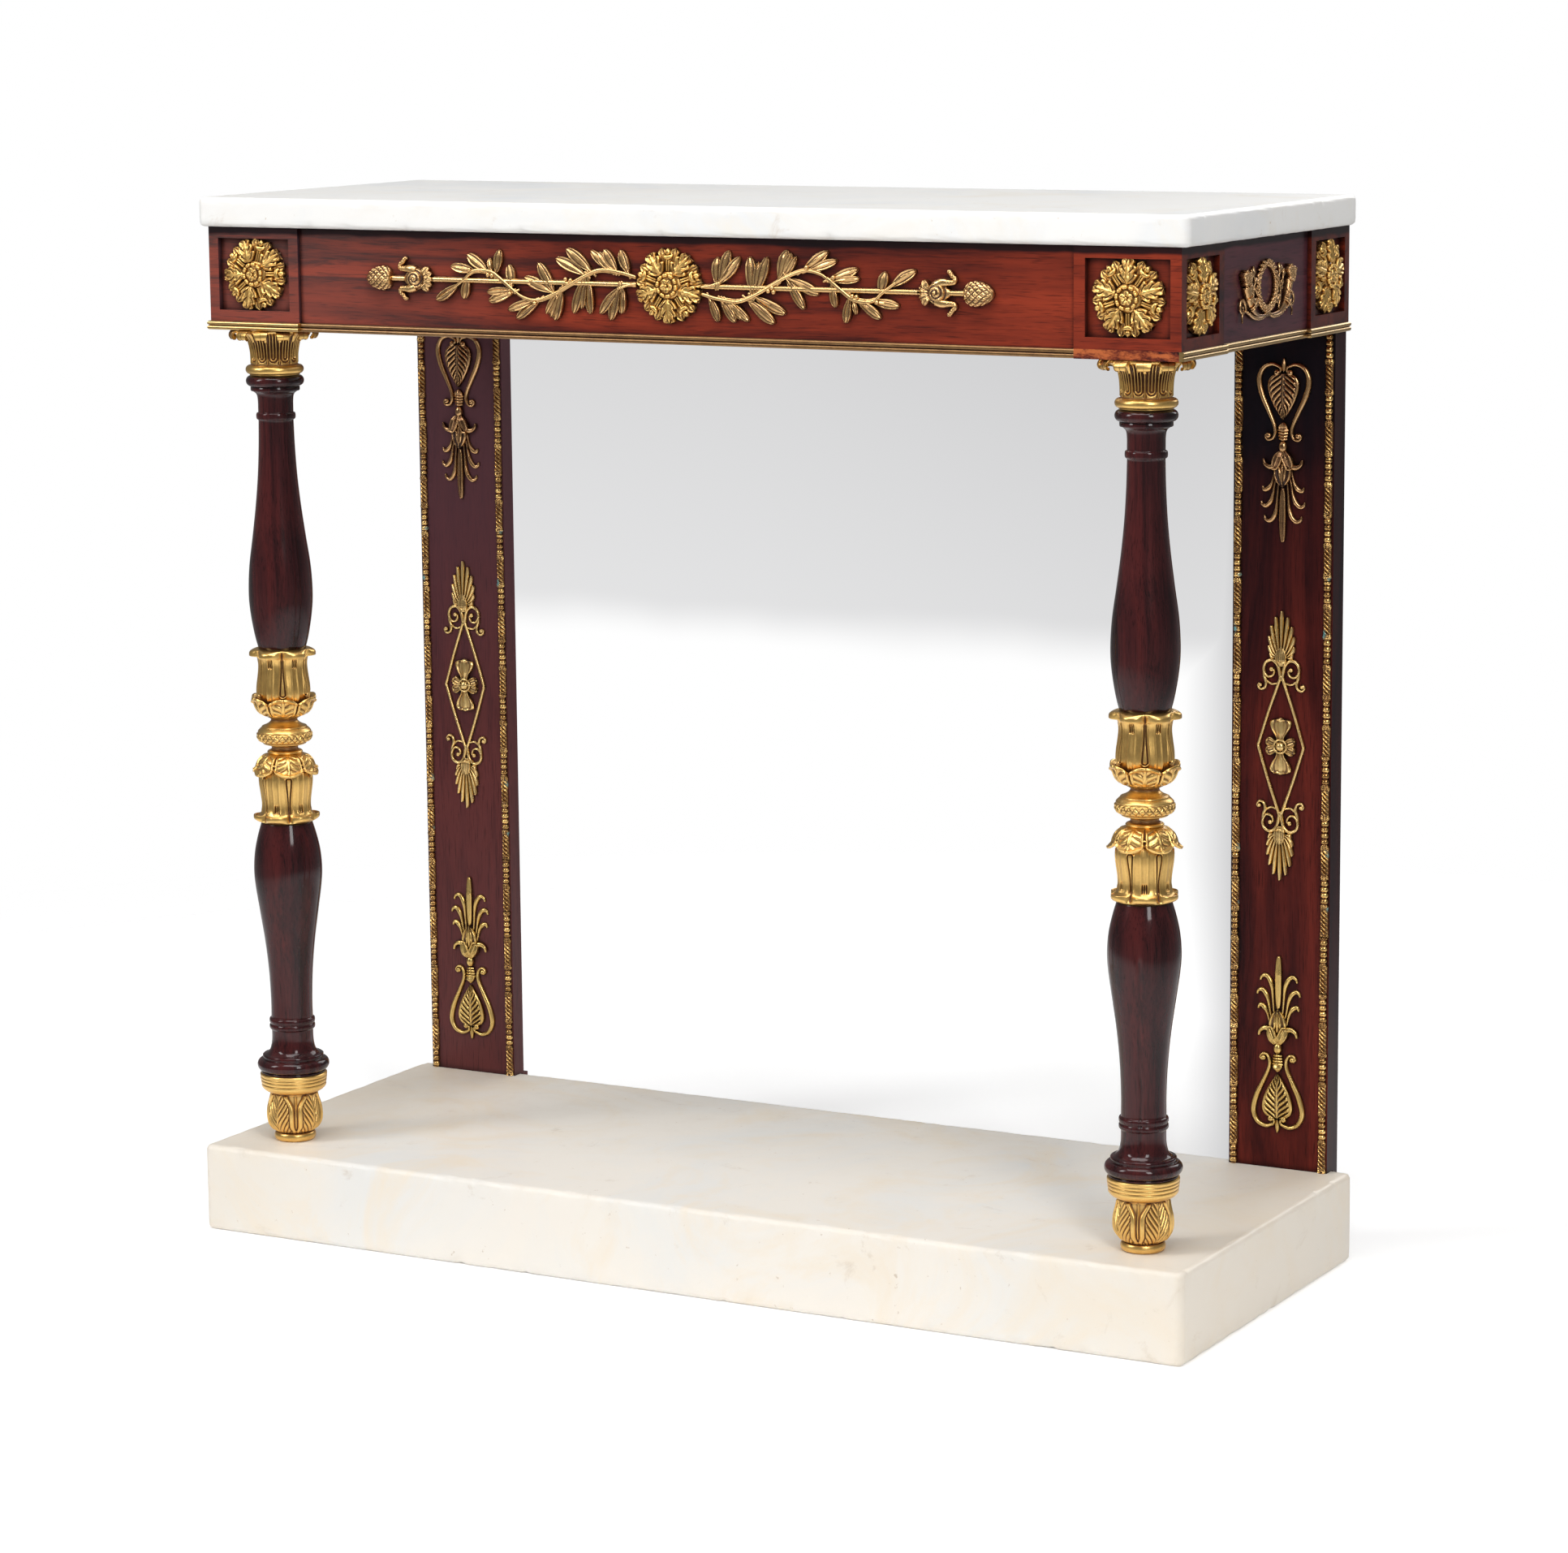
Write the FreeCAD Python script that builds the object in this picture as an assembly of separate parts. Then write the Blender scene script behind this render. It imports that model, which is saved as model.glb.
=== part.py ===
import FreeCAD, Part
import math
import os

# Pier table: a marble slab on a rosewood frieze, two turned columns in front and two flat
# uprights behind, all on a marble plinth. Millimetres. The origin is on the floor, under the
# middle of the overall footprint: +X to the right, +Y to the back (the wall), +Z up.

# ---------------------------------------------------------------- driving dimensions
# marble
TABLE_HEIGHT = 902.0
SLAB_LENGTH = 920.0
SLAB_DEPTH = 345.0
SLAB_THICKNESS = 25.0
SLAB_EDGE_RADIUS = 4.0
PLINTH_HEIGHT = 76.0
PLINTH_EDGE_RADIUS = 4.5
PLINTH_SIDE_PROJECTION = 8.0        # plinth beyond each end of the slab
PLINTH_FRONT_PROJECTION = 20.0      # plinth in front of the slab's front edge
SLAB_REAR_GAP = 2.0                 # woodwork behind the slab's rear edge

# frieze
FRIEZE_HEIGHT = 80.0                # wood face above the brass moulding
SLAB_FRONT_OVERHANG = 5.0
SLAB_SIDE_OVERHANG = 8.0
BLOCK_WIDTH = 91.0
BLOCK_DEPTH = 82.0
FACING_THICKNESS = 5.0
PANEL_MARGIN = 9.5                  # border of the facing around its sunk panel
RAIL_SETBACK = 3.5                  # rail face behind the block faces
RAIL_THICKNESS = 20.0
BEARER_WIDTH = 60.0
BEARER_THICKNESS = 22.0

# brass moulding under the frieze
MOULDING_HEIGHT = 7.5
MOULDING_SEAT = 2.0                 # rebate in the wood that takes the moulding's back
MOULDING_PROJECTION = 2.5
REED_RELIEF = 1.7                   # each reed in front of the moulding's flat back strip

# columns: place
COLUMN_INSET_X = 43.0               # axis from the block's outer face
COLUMN_INSET_Y = 31.0               # axis from the block's front face

# columns: foot
FOOT_HEIGHT = 61.0
FOOT_BASE_HEIGHT = 7.0
FOOT_DRUM_HEIGHT = 18.0
FOOT_BASE_RADIUS = 18.8
FOOT_NECK_RADIUS = 17.0
FOOT_BODY_RADIUS = 25.0
FOOT_DRUM_RADIUS = 29.3
FOOT_REED_RISE = 1.5
FOOT_DRUM_REEDS = 4
FOOT_LEAVES = 4
FOOT_LEAF_RELIEF = 3.0

# columns: lower shaft
LOWER_SHAFT_LENGTH = 224.0
LOWER_TORUS_HEIGHT = 14.0
LOWER_TORUS_RADIUS = 31.5
LOWER_TORUS_RISE = 5.5              # of the rounded moulding beyond its flat ends
LOWER_FILLET_HEIGHT = 4.0
LOWER_RING_RISE_FROM_FOOT = 39.5
LOWER_RING_HEIGHT = 9.0
LOWER_WAIST_RADIUS = 18.2
LOWER_BELLY_RADIUS = 29.6

# columns: upper shaft
UPPER_TORUS_HEIGHT = 10.0
UPPER_TORUS_RISE = 4.0
UPPER_FILLET_HEIGHT = 3.5
UPPER_RING_DROP_FROM_TOP = 38.3
UPPER_RING_HEIGHT = 5.7
UPPER_WAIST_RADIUS = 14.6
UPPER_BELLY_RADIUS = 27.6
RING_RISE = 1.0                     # of the turned rings, in two steps

# columns: cups and knop
CUP_HEIGHT = 60.0
CUP_NECK_RADIUS = 13.0
CUP_BOWL_RADIUS = 23.5
CUP_WAIST_RADIUS = 20.8
CUP_TIP_RADIUS = 28.4
CUP_LIP_DROP = 2.0                  # petal tips below the cup's rim
CALYX_TIP_RADIUS = 29.2
CUP_LEAVES = 6
KNOP_HEIGHT = 32.0
KNOP_DISC_HEIGHT = 5.0
KNOP_DISC_RISE = 2.4
KNOP_FOOT_HEIGHT = 10.0
KNOP_BAND_HEIGHT = 15.0
KNOP_BAND_RISE = 6.0
KNOP_RADIUS = 23.8
KNOP_NECK_RADIUS = 10.0

# columns: capital
CAPITAL_HEIGHT = 39.5
CAPITAL_TORUS_HEIGHT = 8.5
CAPITAL_TORUS_RADIUS = 25.1
CAPITAL_TORUS_RISE = 3.5
CAPITAL_BELL_RADIUS = 22.7
CAPITAL_BELL_TAPER = 3.0
CAPITAL_CROWN_HEIGHT = 7.5
CAPITAL_LEAF_ROOT = 2.0             # the crown's leaves leave the bell this far below the crown
CAPITAL_LEAF_RADIUS = 36.0
CAPITAL_LEAF_RELIEF = 6.0
CAPITAL_FLUTE_RELIEF = 1.4
CAPITAL_LEAVES = 12
ABACUS_HEIGHT = 2.5
ABACUS_OVERHANG = 3.0

# tie bolt through each column
BOLT_RADIUS = 4.0
BOLT_CLEARANCE = 0.3                # bores and sockets are this much larger than the bolt
BOLT_SOCKET_DEPTH = 30.0            # into the plinth
BOLT_HEAD_RADIUS = 9.0
BOLT_HEAD_HEIGHT = 8.0
BOLT_HEAD_DEPTH = 42.0              # head seat below the top of the corner block

# uprights
BOARD_WIDTH = 90.0
BOARD_THICKNESS = 23.0
BOARD_SIDE_INSET = 2.0              # outer edge inside the block's outer face
BOARD_TONGUE_DROP = 50.0            # tongue behind the plinth, below the plinth's top
BOARD_TONGUE_THICKNESS = 9.0
BOARD_REBATE_WIDTH = 10.0           # rear rebate along the inner edge
BOARD_REBATE_DEPTH = 7.0
STRIP_WIDTH = 9.5
STRIP_WEB = 1.2
STRIP_BEAD_RADIUS = 2.5
STRIP_HUSK_RISE = 1.8
STRIP_ROPE_RISE = 1.4
STRIP_PITCH = 51.0                  # one repeat of beads, husk, rope and husk
STRIP_ROPE_SHARE = 0.24             # of the repeat

# gilt mounts on the frieze
ROSETTE_CLEARANCE = 0.3             # round a rosette, to its sunk panel and to the garlands
ROSETTE_HEIGHT = 10.0
ROSETTE_FRINGE_RELIEF = 2.4
ROSETTE_LEAF_RELIEF = 5.4
ROSETTE_BEAD_RELIEF = 7.6
ROSETTE_POD_RADIUS = 3.4
ROSETTE_LEAVES = 5
ROD_RADIUS = 2.3
GARLAND_HEIGHT = 62.0               # over the highest and lowest leaf
SPRAY_WIDTH = 7.6
SPRAY_THICKNESS = 2.4
STEM_WIDTH = 2.6
STEM_THICKNESS = 2.8
BERRY_RADIUS = 2.1
LEAF_CUP_LENGTH = 24.0
LEAF_CUP_RADIUS = 6.0
LEAF_CUP_HORN_WIDTH = 5.0
LEAF_CUP_HORN_THICKNESS = 4.0
FINIAL_GAP = 15.0                   # bare rod between leaf cup and pine cone
CONE_LENGTH = 27.0
CONE_RADIUS = 9.4
FINIAL_END_MARGIN = 67.5            # bare rail from the cone's point to the corner block
WREATH_SPAN = 114.0                 # over both cornucopias
WREATH_RADIUS = 20.5
WREATH_OPENING_RADIUS = 14.0
WREATH_THICKNESS = 4.0
TENDRIL_WIDTH = 2.4
TENDRIL_THICKNESS = 2.4
BLOSSOM_RADIUS = 6.6
BLOSSOM_HEIGHT = 5.0

# gilt mounts on the uprights
LYRE_LENGTH = 154.0
LYRE_WIDTH = 48.0
LYRE_BAND = 3.2
LYRE_THICKNESS = 3.0
LYRE_LEAF_THICKNESS = 2.0
UPPER_LYRE_DROP = 22.0              # its top point below the underside of the frieze
LOWER_LYRE_RISE = 31.0              # its lowest point above the plinth
LOZENGE_UPPER_GAP = 58.5            # bare board between the lozenge and the upper lyre
LOZENGE_LOWER_GAP = 66.0            # bare board between the lozenge and the lower lyre
LOZENGE_WIDTH = 43.5
LOZENGE_FRAME_SHARE = 0.526         # the rhombus alone, of the mount's length
LOZENGE_BAND = 2.6
LOZENGE_THICKNESS = 2.6
FLOWER_LENGTH = 45.0
FLOWER_WIDTH = 28.0
FLOWER_THICKNESS = 2.4
FLOWER_BOSS_RADIUS = 5.0

# ---------------------------------------------------------------- levels and planes
OVERALL_DEPTH = PLINTH_FRONT_PROJECTION + SLAB_DEPTH + SLAB_REAR_GAP
Y_PLINTH_FRONT = -OVERALL_DEPTH / 2
Y_SLAB_FRONT = Y_PLINTH_FRONT + PLINTH_FRONT_PROJECTION
Y_SLAB_BACK = Y_SLAB_FRONT + SLAB_DEPTH
Y_WOOD_BACK = Y_SLAB_BACK + SLAB_REAR_GAP
Y_PLINTH_BACK = Y_WOOD_BACK - BOARD_TONGUE_THICKNESS
Y_BLOCK_FRONT = Y_SLAB_FRONT + SLAB_FRONT_OVERHANG
Y_RAIL_FRONT = Y_BLOCK_FRONT + RAIL_SETBACK
Y_FRONT_BLOCK_BACK = Y_BLOCK_FRONT + BLOCK_DEPTH
Y_REAR_BLOCK_FRONT = Y_WOOD_BACK - BLOCK_DEPTH
Y_BOARD_FACE = Y_WOOD_BACK - BOARD_THICKNESS

X_PLINTH_END = SLAB_LENGTH / 2 + PLINTH_SIDE_PROJECTION
X_BLOCK_OUT = SLAB_LENGTH / 2 - SLAB_SIDE_OVERHANG
X_BLOCK_IN = X_BLOCK_OUT - BLOCK_WIDTH
X_SIDE_FACE = X_BLOCK_OUT - RAIL_SETBACK
X_BLOCK_SEAT = X_BLOCK_OUT - MOULDING_SEAT
X_RAIL_SEAT = X_SIDE_FACE - MOULDING_SEAT
X_BOARD_OUT = X_BLOCK_OUT - BOARD_SIDE_INSET
X_BOARD_IN = X_BOARD_OUT - BOARD_WIDTH
X_BOARD_MIDDLE = (X_BOARD_OUT + X_BOARD_IN) / 2
X_COLUMN = X_BLOCK_OUT - COLUMN_INSET_X
Y_COLUMN = Y_BLOCK_FRONT + COLUMN_INSET_Y

Z_SLAB_UNDER = TABLE_HEIGHT - SLAB_THICKNESS
Z_FACING_BOTTOM = Z_SLAB_UNDER - FRIEZE_HEIGHT
Z_FRIEZE_UNDER = Z_FACING_BOTTOM - MOULDING_HEIGHT
Z_FRIEZE_MIDDLE = (Z_SLAB_UNDER + Z_FACING_BOTTOM) / 2
Z_FOOT_TOP = PLINTH_HEIGHT + FOOT_HEIGHT
Z_LOWER_CUP = Z_FOOT_TOP + LOWER_SHAFT_LENGTH
Z_KNOP = Z_LOWER_CUP + CUP_HEIGHT
Z_UPPER_CUP = Z_KNOP + KNOP_HEIGHT
Z_UPPER_SHAFT = Z_UPPER_CUP + CUP_HEIGHT
Z_CAPITAL = Z_FRIEZE_UNDER - CAPITAL_HEIGHT
UPPER_SHAFT_LENGTH = Z_CAPITAL - Z_UPPER_SHAFT
Z_BOLT_SEAT = Z_SLAB_UNDER - BOLT_HEAD_DEPTH
Z_UPPER_LYRE_TIP = Z_FRIEZE_UNDER - UPPER_LYRE_DROP
Z_LOWER_LYRE_TIP = PLINTH_HEIGHT + LOWER_LYRE_RISE
Z_LOZENGE_TOP = Z_UPPER_LYRE_TIP - LYRE_LENGTH - LOZENGE_UPPER_GAP
Z_LOZENGE_FOOT = Z_LOWER_LYRE_TIP + LYRE_LENGTH + LOZENGE_LOWER_GAP
Z_LOZENGE = (Z_LOZENGE_TOP + Z_LOZENGE_FOOT) / 2
LOZENGE_LENGTH = Z_LOZENGE_TOP - Z_LOZENGE_FOOT

BORE_RADIUS = BOLT_RADIUS + BOLT_CLEARANCE
ROSETTE_RADIUS = FRIEZE_HEIGHT / 2 - PANEL_MARGIN - ROSETTE_CLEARANCE
X_GARLAND = ROSETTE_RADIUS + ROSETTE_CLEARANCE
X_FINIAL = X_BLOCK_IN - FINIAL_END_MARGIN - CONE_LENGTH - FINIAL_GAP - LEAF_CUP_LENGTH
GARLAND_LENGTH = X_FINIAL - X_GARLAND
UP = FreeCAD.Vector(0, 0, 1)
PANEL_NORMAL = FreeCAD.Vector(0, -1, 0)
ORIGIN = FreeCAD.Vector(0, 0, 0)


# ---------------------------------------------------------------- shape helpers
def box(x_range, y_range, z_range):
    """A block between two values on each axis, given in either order."""
    lows = [min(pair) for pair in (x_range, y_range, z_range)]
    sizes = [abs(pair[1] - pair[0]) for pair in (x_range, y_range, z_range)]
    return Part.makeBox(*sizes, FreeCAD.Vector(*lows))


def fused(shapes):
    """One solid from overlapping shapes."""
    shapes = list(shapes)
    if len(shapes) == 1:
        return shapes[0]
    return shapes[0].multiFuse(shapes[1:]).removeSplitter()


def moved(shape, x=0.0, y=0.0, z=0.0):
    """A copy of the shape, shifted."""
    copy = shape.copy()
    copy.translate(FreeCAD.Vector(x, y, z))
    return copy


def turned_about(shape, axis, degrees, centre=ORIGIN):
    """A copy of the shape, turned about an axis through the centre."""
    copy = shape.copy()
    copy.rotate(centre, axis, degrees)
    return copy


def mirrored_x(shape):
    """The left-hand twin of a right-hand piece."""
    return shape.mirror(ORIGIN, FreeCAD.Vector(1, 0, 0))


class Outline:
    """Half outline of a turned piece, drawn upwards in the XZ plane from its foot."""

    def __init__(self, radius, z):
        self.start = FreeCAD.Vector(radius, 0, z)
        self.end = self.start
        self.edges = []

    def line(self, radius, z):
        target = FreeCAD.Vector(radius, 0, z)
        self.edges.append(Part.LineSegment(self.end, target).toShape())
        self.end = target
        return self

    def bead(self, height, bulge):
        """A rounded moulding straight up, standing out by the bulge."""
        target = self.end + FreeCAD.Vector(0, 0, height)
        middle = (self.end + target) / 2 + FreeCAD.Vector(bulge, 0, 0)
        self.edges.append(Part.Arc(self.end, middle, target).toShape())
        self.end = target
        return self

    def curve(self, points):
        """A smooth line through points of (radius, height)."""
        knots = [self.end] + [FreeCAD.Vector(radius, 0, z) for radius, z in points]
        spline = Part.BSplineCurve()
        spline.interpolate(knots)
        self.edges.append(spline.toShape())
        self.end = knots[-1]
        return self

    def solid(self, bore=BORE_RADIUS):
        """The turned solid, bored for the tie bolt."""
        top = FreeCAD.Vector(bore, 0, self.end.z)
        foot = FreeCAD.Vector(bore, 0, self.start.z)
        corners = [self.end, top, foot, self.start]
        closing = [Part.LineSegment(a, b).toShape() for a, b in zip(corners, corners[1:])]
        face = Part.Face(Part.Wire(self.edges + closing))
        return face.revolve(ORIGIN, UP, 360)


def lobed_wire(z, valley_radius, tip_radius, count, phase=0.0):
    """A closed ring of round lobes, level at z."""
    arcs = []
    step = 2 * math.pi / count
    for index in range(count):
        angles = [(index - 0.5) * step, index * step, (index + 0.5) * step]
        radii = [valley_radius, tip_radius, valley_radius]
        points = [
            FreeCAD.Vector(r * math.cos(a + phase), r * math.sin(a + phase), z)
            for r, a in zip(radii, angles)
        ]
        arcs.append(Part.Arc(*points).toShape())
    return Part.Wire(arcs)


def lobed_solid(sections, count, phase=0.0):
    """A solid through lobed rings given as (z, valley radius, tip radius)."""
    wires = [lobed_wire(z, valley, tip, count, phase) for z, valley, tip in sections]
    return Part.makeLoft(wires, True, True)


def bored(shape, z_range):
    """The shape with the tie bolt's bore through it."""
    height = z_range[1] - z_range[0]
    bore = Part.makeCylinder(BORE_RADIUS, height + 2, FreeCAD.Vector(0, 0, z_range[0] - 1))
    return shape.cut(bore)


# Mounts are drawn flat in the XZ plane with their back at y = 0 and their relief towards -Y.
def plate(wire, thickness):
    """A flat piece of the given outline."""
    return Part.Face(wire).extrude(PANEL_NORMAL * thickness)


def flat(x, z):
    return FreeCAD.Vector(x, 0, z)


def polygon(points, thickness):
    """A flat piece with straight edges."""
    corners = [flat(*point) for point in points]
    return plate(Part.makePolygon(corners + corners[:1]), thickness)


def ribbon(points, width, thickness):
    """A band of constant width along a smooth line through the points."""
    spline = Part.BSplineCurve()
    spline.interpolate([flat(*point) for point in points])
    samples = 4 * len(points)
    first, last = spline.FirstParameter, spline.LastParameter
    left = []
    right = []
    for index in range(samples + 1):
        parameter = first + (last - first) * index / samples
        centre = spline.value(parameter)
        tangent = spline.tangent(parameter)[0]
        across = FreeCAD.Vector(-tangent.z, 0, tangent.x) * (width / 2)
        left.append(centre + across)
        right.append(centre - across)
    sides = []
    for row in (left, right[::-1]):
        side = Part.BSplineCurve()
        side.interpolate(row)
        sides.append(side.toShape())
    ends = [
        Part.LineSegment(left[-1], right[-1]).toShape(),
        Part.LineSegment(right[0], left[0]).toShape(),
    ]
    return plate(Part.Wire([sides[0], ends[0], sides[1], ends[1]]), thickness)


def leaf(base, tip, width, thickness):
    """A leaf of two arcs between its base and its tip."""
    start, end = flat(*base), flat(*tip)
    along = end - start
    across = FreeCAD.Vector(-along.z, 0, along.x).normalize() * (width / 2)
    middle = (start + end) / 2
    arcs = [
        Part.Arc(start, middle + across, end).toShape(),
        Part.Arc(end, middle - across, start).toShape(),
    ]
    return plate(Part.Wire(arcs), thickness)


def boss(x, z, radius, height):
    """A round boss standing up from the back plane."""
    rise = min(height, radius)
    sphere_radius = (radius ** 2 + rise ** 2) / (2 * rise)
    centre = FreeCAD.Vector(x, sphere_radius - rise, z)
    sphere = Part.makeSphere(sphere_radius, centre)
    reach = 2 * sphere_radius
    return sphere.common(box((x - reach, x + reach), (-reach, 0), (z - reach, z + reach)))


def curl(x, z, radius, thickness):
    """The rolled end of a scroll."""
    return Part.makeCylinder(radius, thickness, FreeCAD.Vector(x, 0, z), PANEL_NORMAL)


def half_round(x_range, radius):
    """A half-round rod along X, its flat side on the back plane."""
    length = x_range[1] - x_range[0]
    rod = Part.makeCylinder(radius, length, FreeCAD.Vector(x_range[0], 0, 0), FreeCAD.Vector(1, 0, 0))
    return rod.common(box((x_range[0], x_range[1]), (-radius, 0), (-radius, radius)))


def twin(shape):
    """The shape and its mirror image across the mount's upright middle line."""
    return [shape, mirrored_x(shape)]


def fitted(points, x_unit, z_unit):
    """Points drawn in hundredths of a mount's length and width, at their real size."""
    return [(x * x_unit / 100, z * z_unit / 100) for x, z in points]


# ---------------------------------------------------------------- marble
def rounded_slab(x_half, y_range, z_range, radius):
    slab = box((-x_half, x_half), y_range, z_range)
    return slab.makeFillet(radius, slab.Edges)


def marble_top():
    return rounded_slab(
        SLAB_LENGTH / 2, (Y_SLAB_FRONT, Y_SLAB_BACK), (Z_SLAB_UNDER, TABLE_HEIGHT), SLAB_EDGE_RADIUS
    )


def marble_plinth():
    slab = rounded_slab(
        X_PLINTH_END, (Y_PLINTH_FRONT, Y_PLINTH_BACK), (0, PLINTH_HEIGHT), PLINTH_EDGE_RADIUS
    )
    for side in (-1, 1):
        foot = FreeCAD.Vector(side * X_COLUMN, Y_COLUMN, PLINTH_HEIGHT - BOLT_SOCKET_DEPTH)
        slab = slab.cut(Part.makeCylinder(BORE_RADIUS, BOLT_SOCKET_DEPTH + 1, foot))
    return slab


# ---------------------------------------------------------------- frieze
def rail(x_range, y_range, seat_side):
    """A frieze rail; seat_side names the face that is rebated for the moulding."""
    body = box(x_range, y_range, (Z_FRIEZE_UNDER, Z_SLAB_UNDER))
    low = (Z_FRIEZE_UNDER, Z_FACING_BOTTOM)
    if seat_side == "front":
        seat = box(x_range, (y_range[0], y_range[0] + MOULDING_SEAT), low)
    else:
        outer = max(x_range)
        seat = box((outer - MOULDING_SEAT, outer), y_range, low)
    return body.cut(seat)


def front_rail():
    return rail((-X_BLOCK_IN, X_BLOCK_IN), (Y_RAIL_FRONT, Y_RAIL_FRONT + RAIL_THICKNESS), "front")


def right_rail():
    x_range = (X_SIDE_FACE - RAIL_THICKNESS, X_SIDE_FACE)
    return rail(x_range, (Y_FRONT_BLOCK_BACK, Y_REAR_BLOCK_FRONT), "side")


def back_rail():
    y_range = (Y_WOOD_BACK - RAIL_THICKNESS, Y_WOOD_BACK)
    return box((-X_BLOCK_IN, X_BLOCK_IN), y_range, (Z_FACING_BOTTOM, Z_SLAB_UNDER))


def cross_bearer():
    y_range = (Y_RAIL_FRONT + RAIL_THICKNESS, Y_WOOD_BACK - RAIL_THICKNESS)
    x_range = (-BEARER_WIDTH / 2, BEARER_WIDTH / 2)
    return box(x_range, y_range, (Z_SLAB_UNDER - BEARER_THICKNESS, Z_SLAB_UNDER))


def block_core(y_outer, y_inner, has_front_facing):
    """A right-hand corner block behind its facings, with the moulding's seat below them."""
    inward = 1 if y_inner > y_outer else -1
    front_skin = FACING_THICKNESS if has_front_facing else 0
    front_seat = MOULDING_SEAT if has_front_facing else 0
    upper = box(
        (X_BLOCK_IN, X_BLOCK_OUT - FACING_THICKNESS),
        (y_outer + inward * front_skin, y_inner),
        (Z_FRIEZE_UNDER, Z_SLAB_UNDER),
    )
    lower = box(
        (X_BLOCK_IN, X_BLOCK_OUT - MOULDING_SEAT),
        (y_outer + inward * front_seat, y_inner),
        (Z_FRIEZE_UNDER, Z_FACING_BOTTOM),
    )
    return fused([upper, lower])


def front_block():
    """The block over a column, bored and counterbored for the tie bolt."""
    block = block_core(Y_BLOCK_FRONT, Y_FRONT_BLOCK_BACK, True)
    foot = FreeCAD.Vector(X_COLUMN, Y_COLUMN, Z_FRIEZE_UNDER - 1)
    seat = FreeCAD.Vector(X_COLUMN, Y_COLUMN, Z_BOLT_SEAT)
    bore = Part.makeCylinder(BORE_RADIUS, Z_SLAB_UNDER - Z_FRIEZE_UNDER, foot)
    pocket = Part.makeCylinder(BOLT_HEAD_RADIUS + BOLT_CLEARANCE, BOLT_HEAD_DEPTH + 1, seat)
    return block.cut(bore).cut(pocket)


def front_right_block():
    """The moulding is lost from this block's front, so its ground is filled out flush."""
    block = front_block()
    ground = box(
        (X_BLOCK_IN, X_BLOCK_OUT - MOULDING_SEAT),
        (Y_BLOCK_FRONT, Y_BLOCK_FRONT + MOULDING_SEAT),
        (Z_FRIEZE_UNDER, Z_FACING_BOTTOM),
    )
    return fused([block, ground])


def rear_block():
    return block_core(Y_WOOD_BACK, Y_REAR_BLOCK_FRONT, False)


def panel_window(x_range, y_range):
    """The opening of a sunk panel, cut right through a facing."""
    return box(x_range, y_range, (Z_FACING_BOTTOM + PANEL_MARGIN, Z_SLAB_UNDER - PANEL_MARGIN))


def side_facing(y_range):
    """A facing on the outer side of a right-hand block."""
    x_range = (X_BLOCK_OUT - FACING_THICKNESS, X_BLOCK_OUT)
    skin = box(x_range, y_range, (Z_FACING_BOTTOM, Z_SLAB_UNDER))
    low, high = min(y_range), max(y_range)
    return skin.cut(panel_window(x_range, (low + PANEL_MARGIN, high - PANEL_MARGIN)))


def front_facing():
    """Front and side facing of a right-hand block, mitred at the corner into one piece."""
    y_range = (Y_BLOCK_FRONT, Y_BLOCK_FRONT + FACING_THICKNESS)
    skin = box((X_BLOCK_IN, X_BLOCK_OUT), y_range, (Z_FACING_BOTTOM, Z_SLAB_UNDER))
    window = panel_window((X_BLOCK_IN + PANEL_MARGIN, X_BLOCK_OUT - PANEL_MARGIN), y_range)
    return fused([skin.cut(window), side_facing((Y_BLOCK_FRONT, Y_FRONT_BLOCK_BACK))])


def rear_facing():
    return side_facing((Y_REAR_BLOCK_FRONT, Y_WOOD_BACK))


# ---------------------------------------------------------------- brass moulding
def moulding_profile(corner, heading):
    """Section of the double-reed moulding: a flat web behind two stacked reeds."""
    outward = FreeCAD.Vector(heading.y, -heading.x, 0)
    reed_height = MOULDING_HEIGHT / 2
    foot = corner + outward * (MOULDING_SEAT + MOULDING_PROJECTION - REED_RELIEF)
    edges = [Part.LineSegment(corner, foot).toShape()]
    for _ in range(2):
        head = foot + UP * reed_height
        crest = (foot + head) / 2 + outward * REED_RELIEF
        edges.append(Part.Arc(foot, crest, head).toShape())
        foot = head
    top = corner + UP * MOULDING_HEIGHT
    edges.append(Part.LineSegment(foot, top).toShape())
    edges.append(Part.LineSegment(top, corner).toShape())
    return Part.Face(Part.Wire(edges))


def beyond(corner, normal):
    """A large block on the far side of the upright plane through the corner."""
    reach = 4 * MOULDING_HEIGHT
    block = Part.makeBox(reach, reach, reach, FreeCAD.Vector(0, -reach / 2, -reach / 2))
    block.Placement = FreeCAD.Placement(corner, FreeCAD.Rotation(FreeCAD.Vector(1, 0, 0), normal))
    return block


def moulding(path):
    """Double-reed moulding along a level path of (x, y) points, mitred at its corners.

    The path runs along the bottom of its seat with the wood on its left.
    """
    corners = [FreeCAD.Vector(x, y, Z_FRIEZE_UNDER) for x, y in path]
    headings = [(b - a).normalize() for a, b in zip(corners, corners[1:])]
    allowance = MOULDING_SEAT + MOULDING_PROJECTION + 1
    lengths = []
    for index, heading in enumerate(headings):
        start, end = corners[index], corners[index + 1]
        before = headings[max(index - 1, 0)]
        after = headings[min(index + 1, len(headings) - 1)]
        profile = moulding_profile(start - heading * allowance, heading)
        length = profile.extrude(heading * (start.distanceToPoint(end) + 2 * allowance))
        length = length.cut(beyond(start, (before + heading) * -1))
        lengths.append(length.cut(beyond(end, heading + after)))
    return fused(lengths)


def front_moulding():
    seat = Y_RAIL_FRONT + MOULDING_SEAT
    end = X_BLOCK_IN
    return moulding([(-end, seat), (end, seat)])


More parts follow.
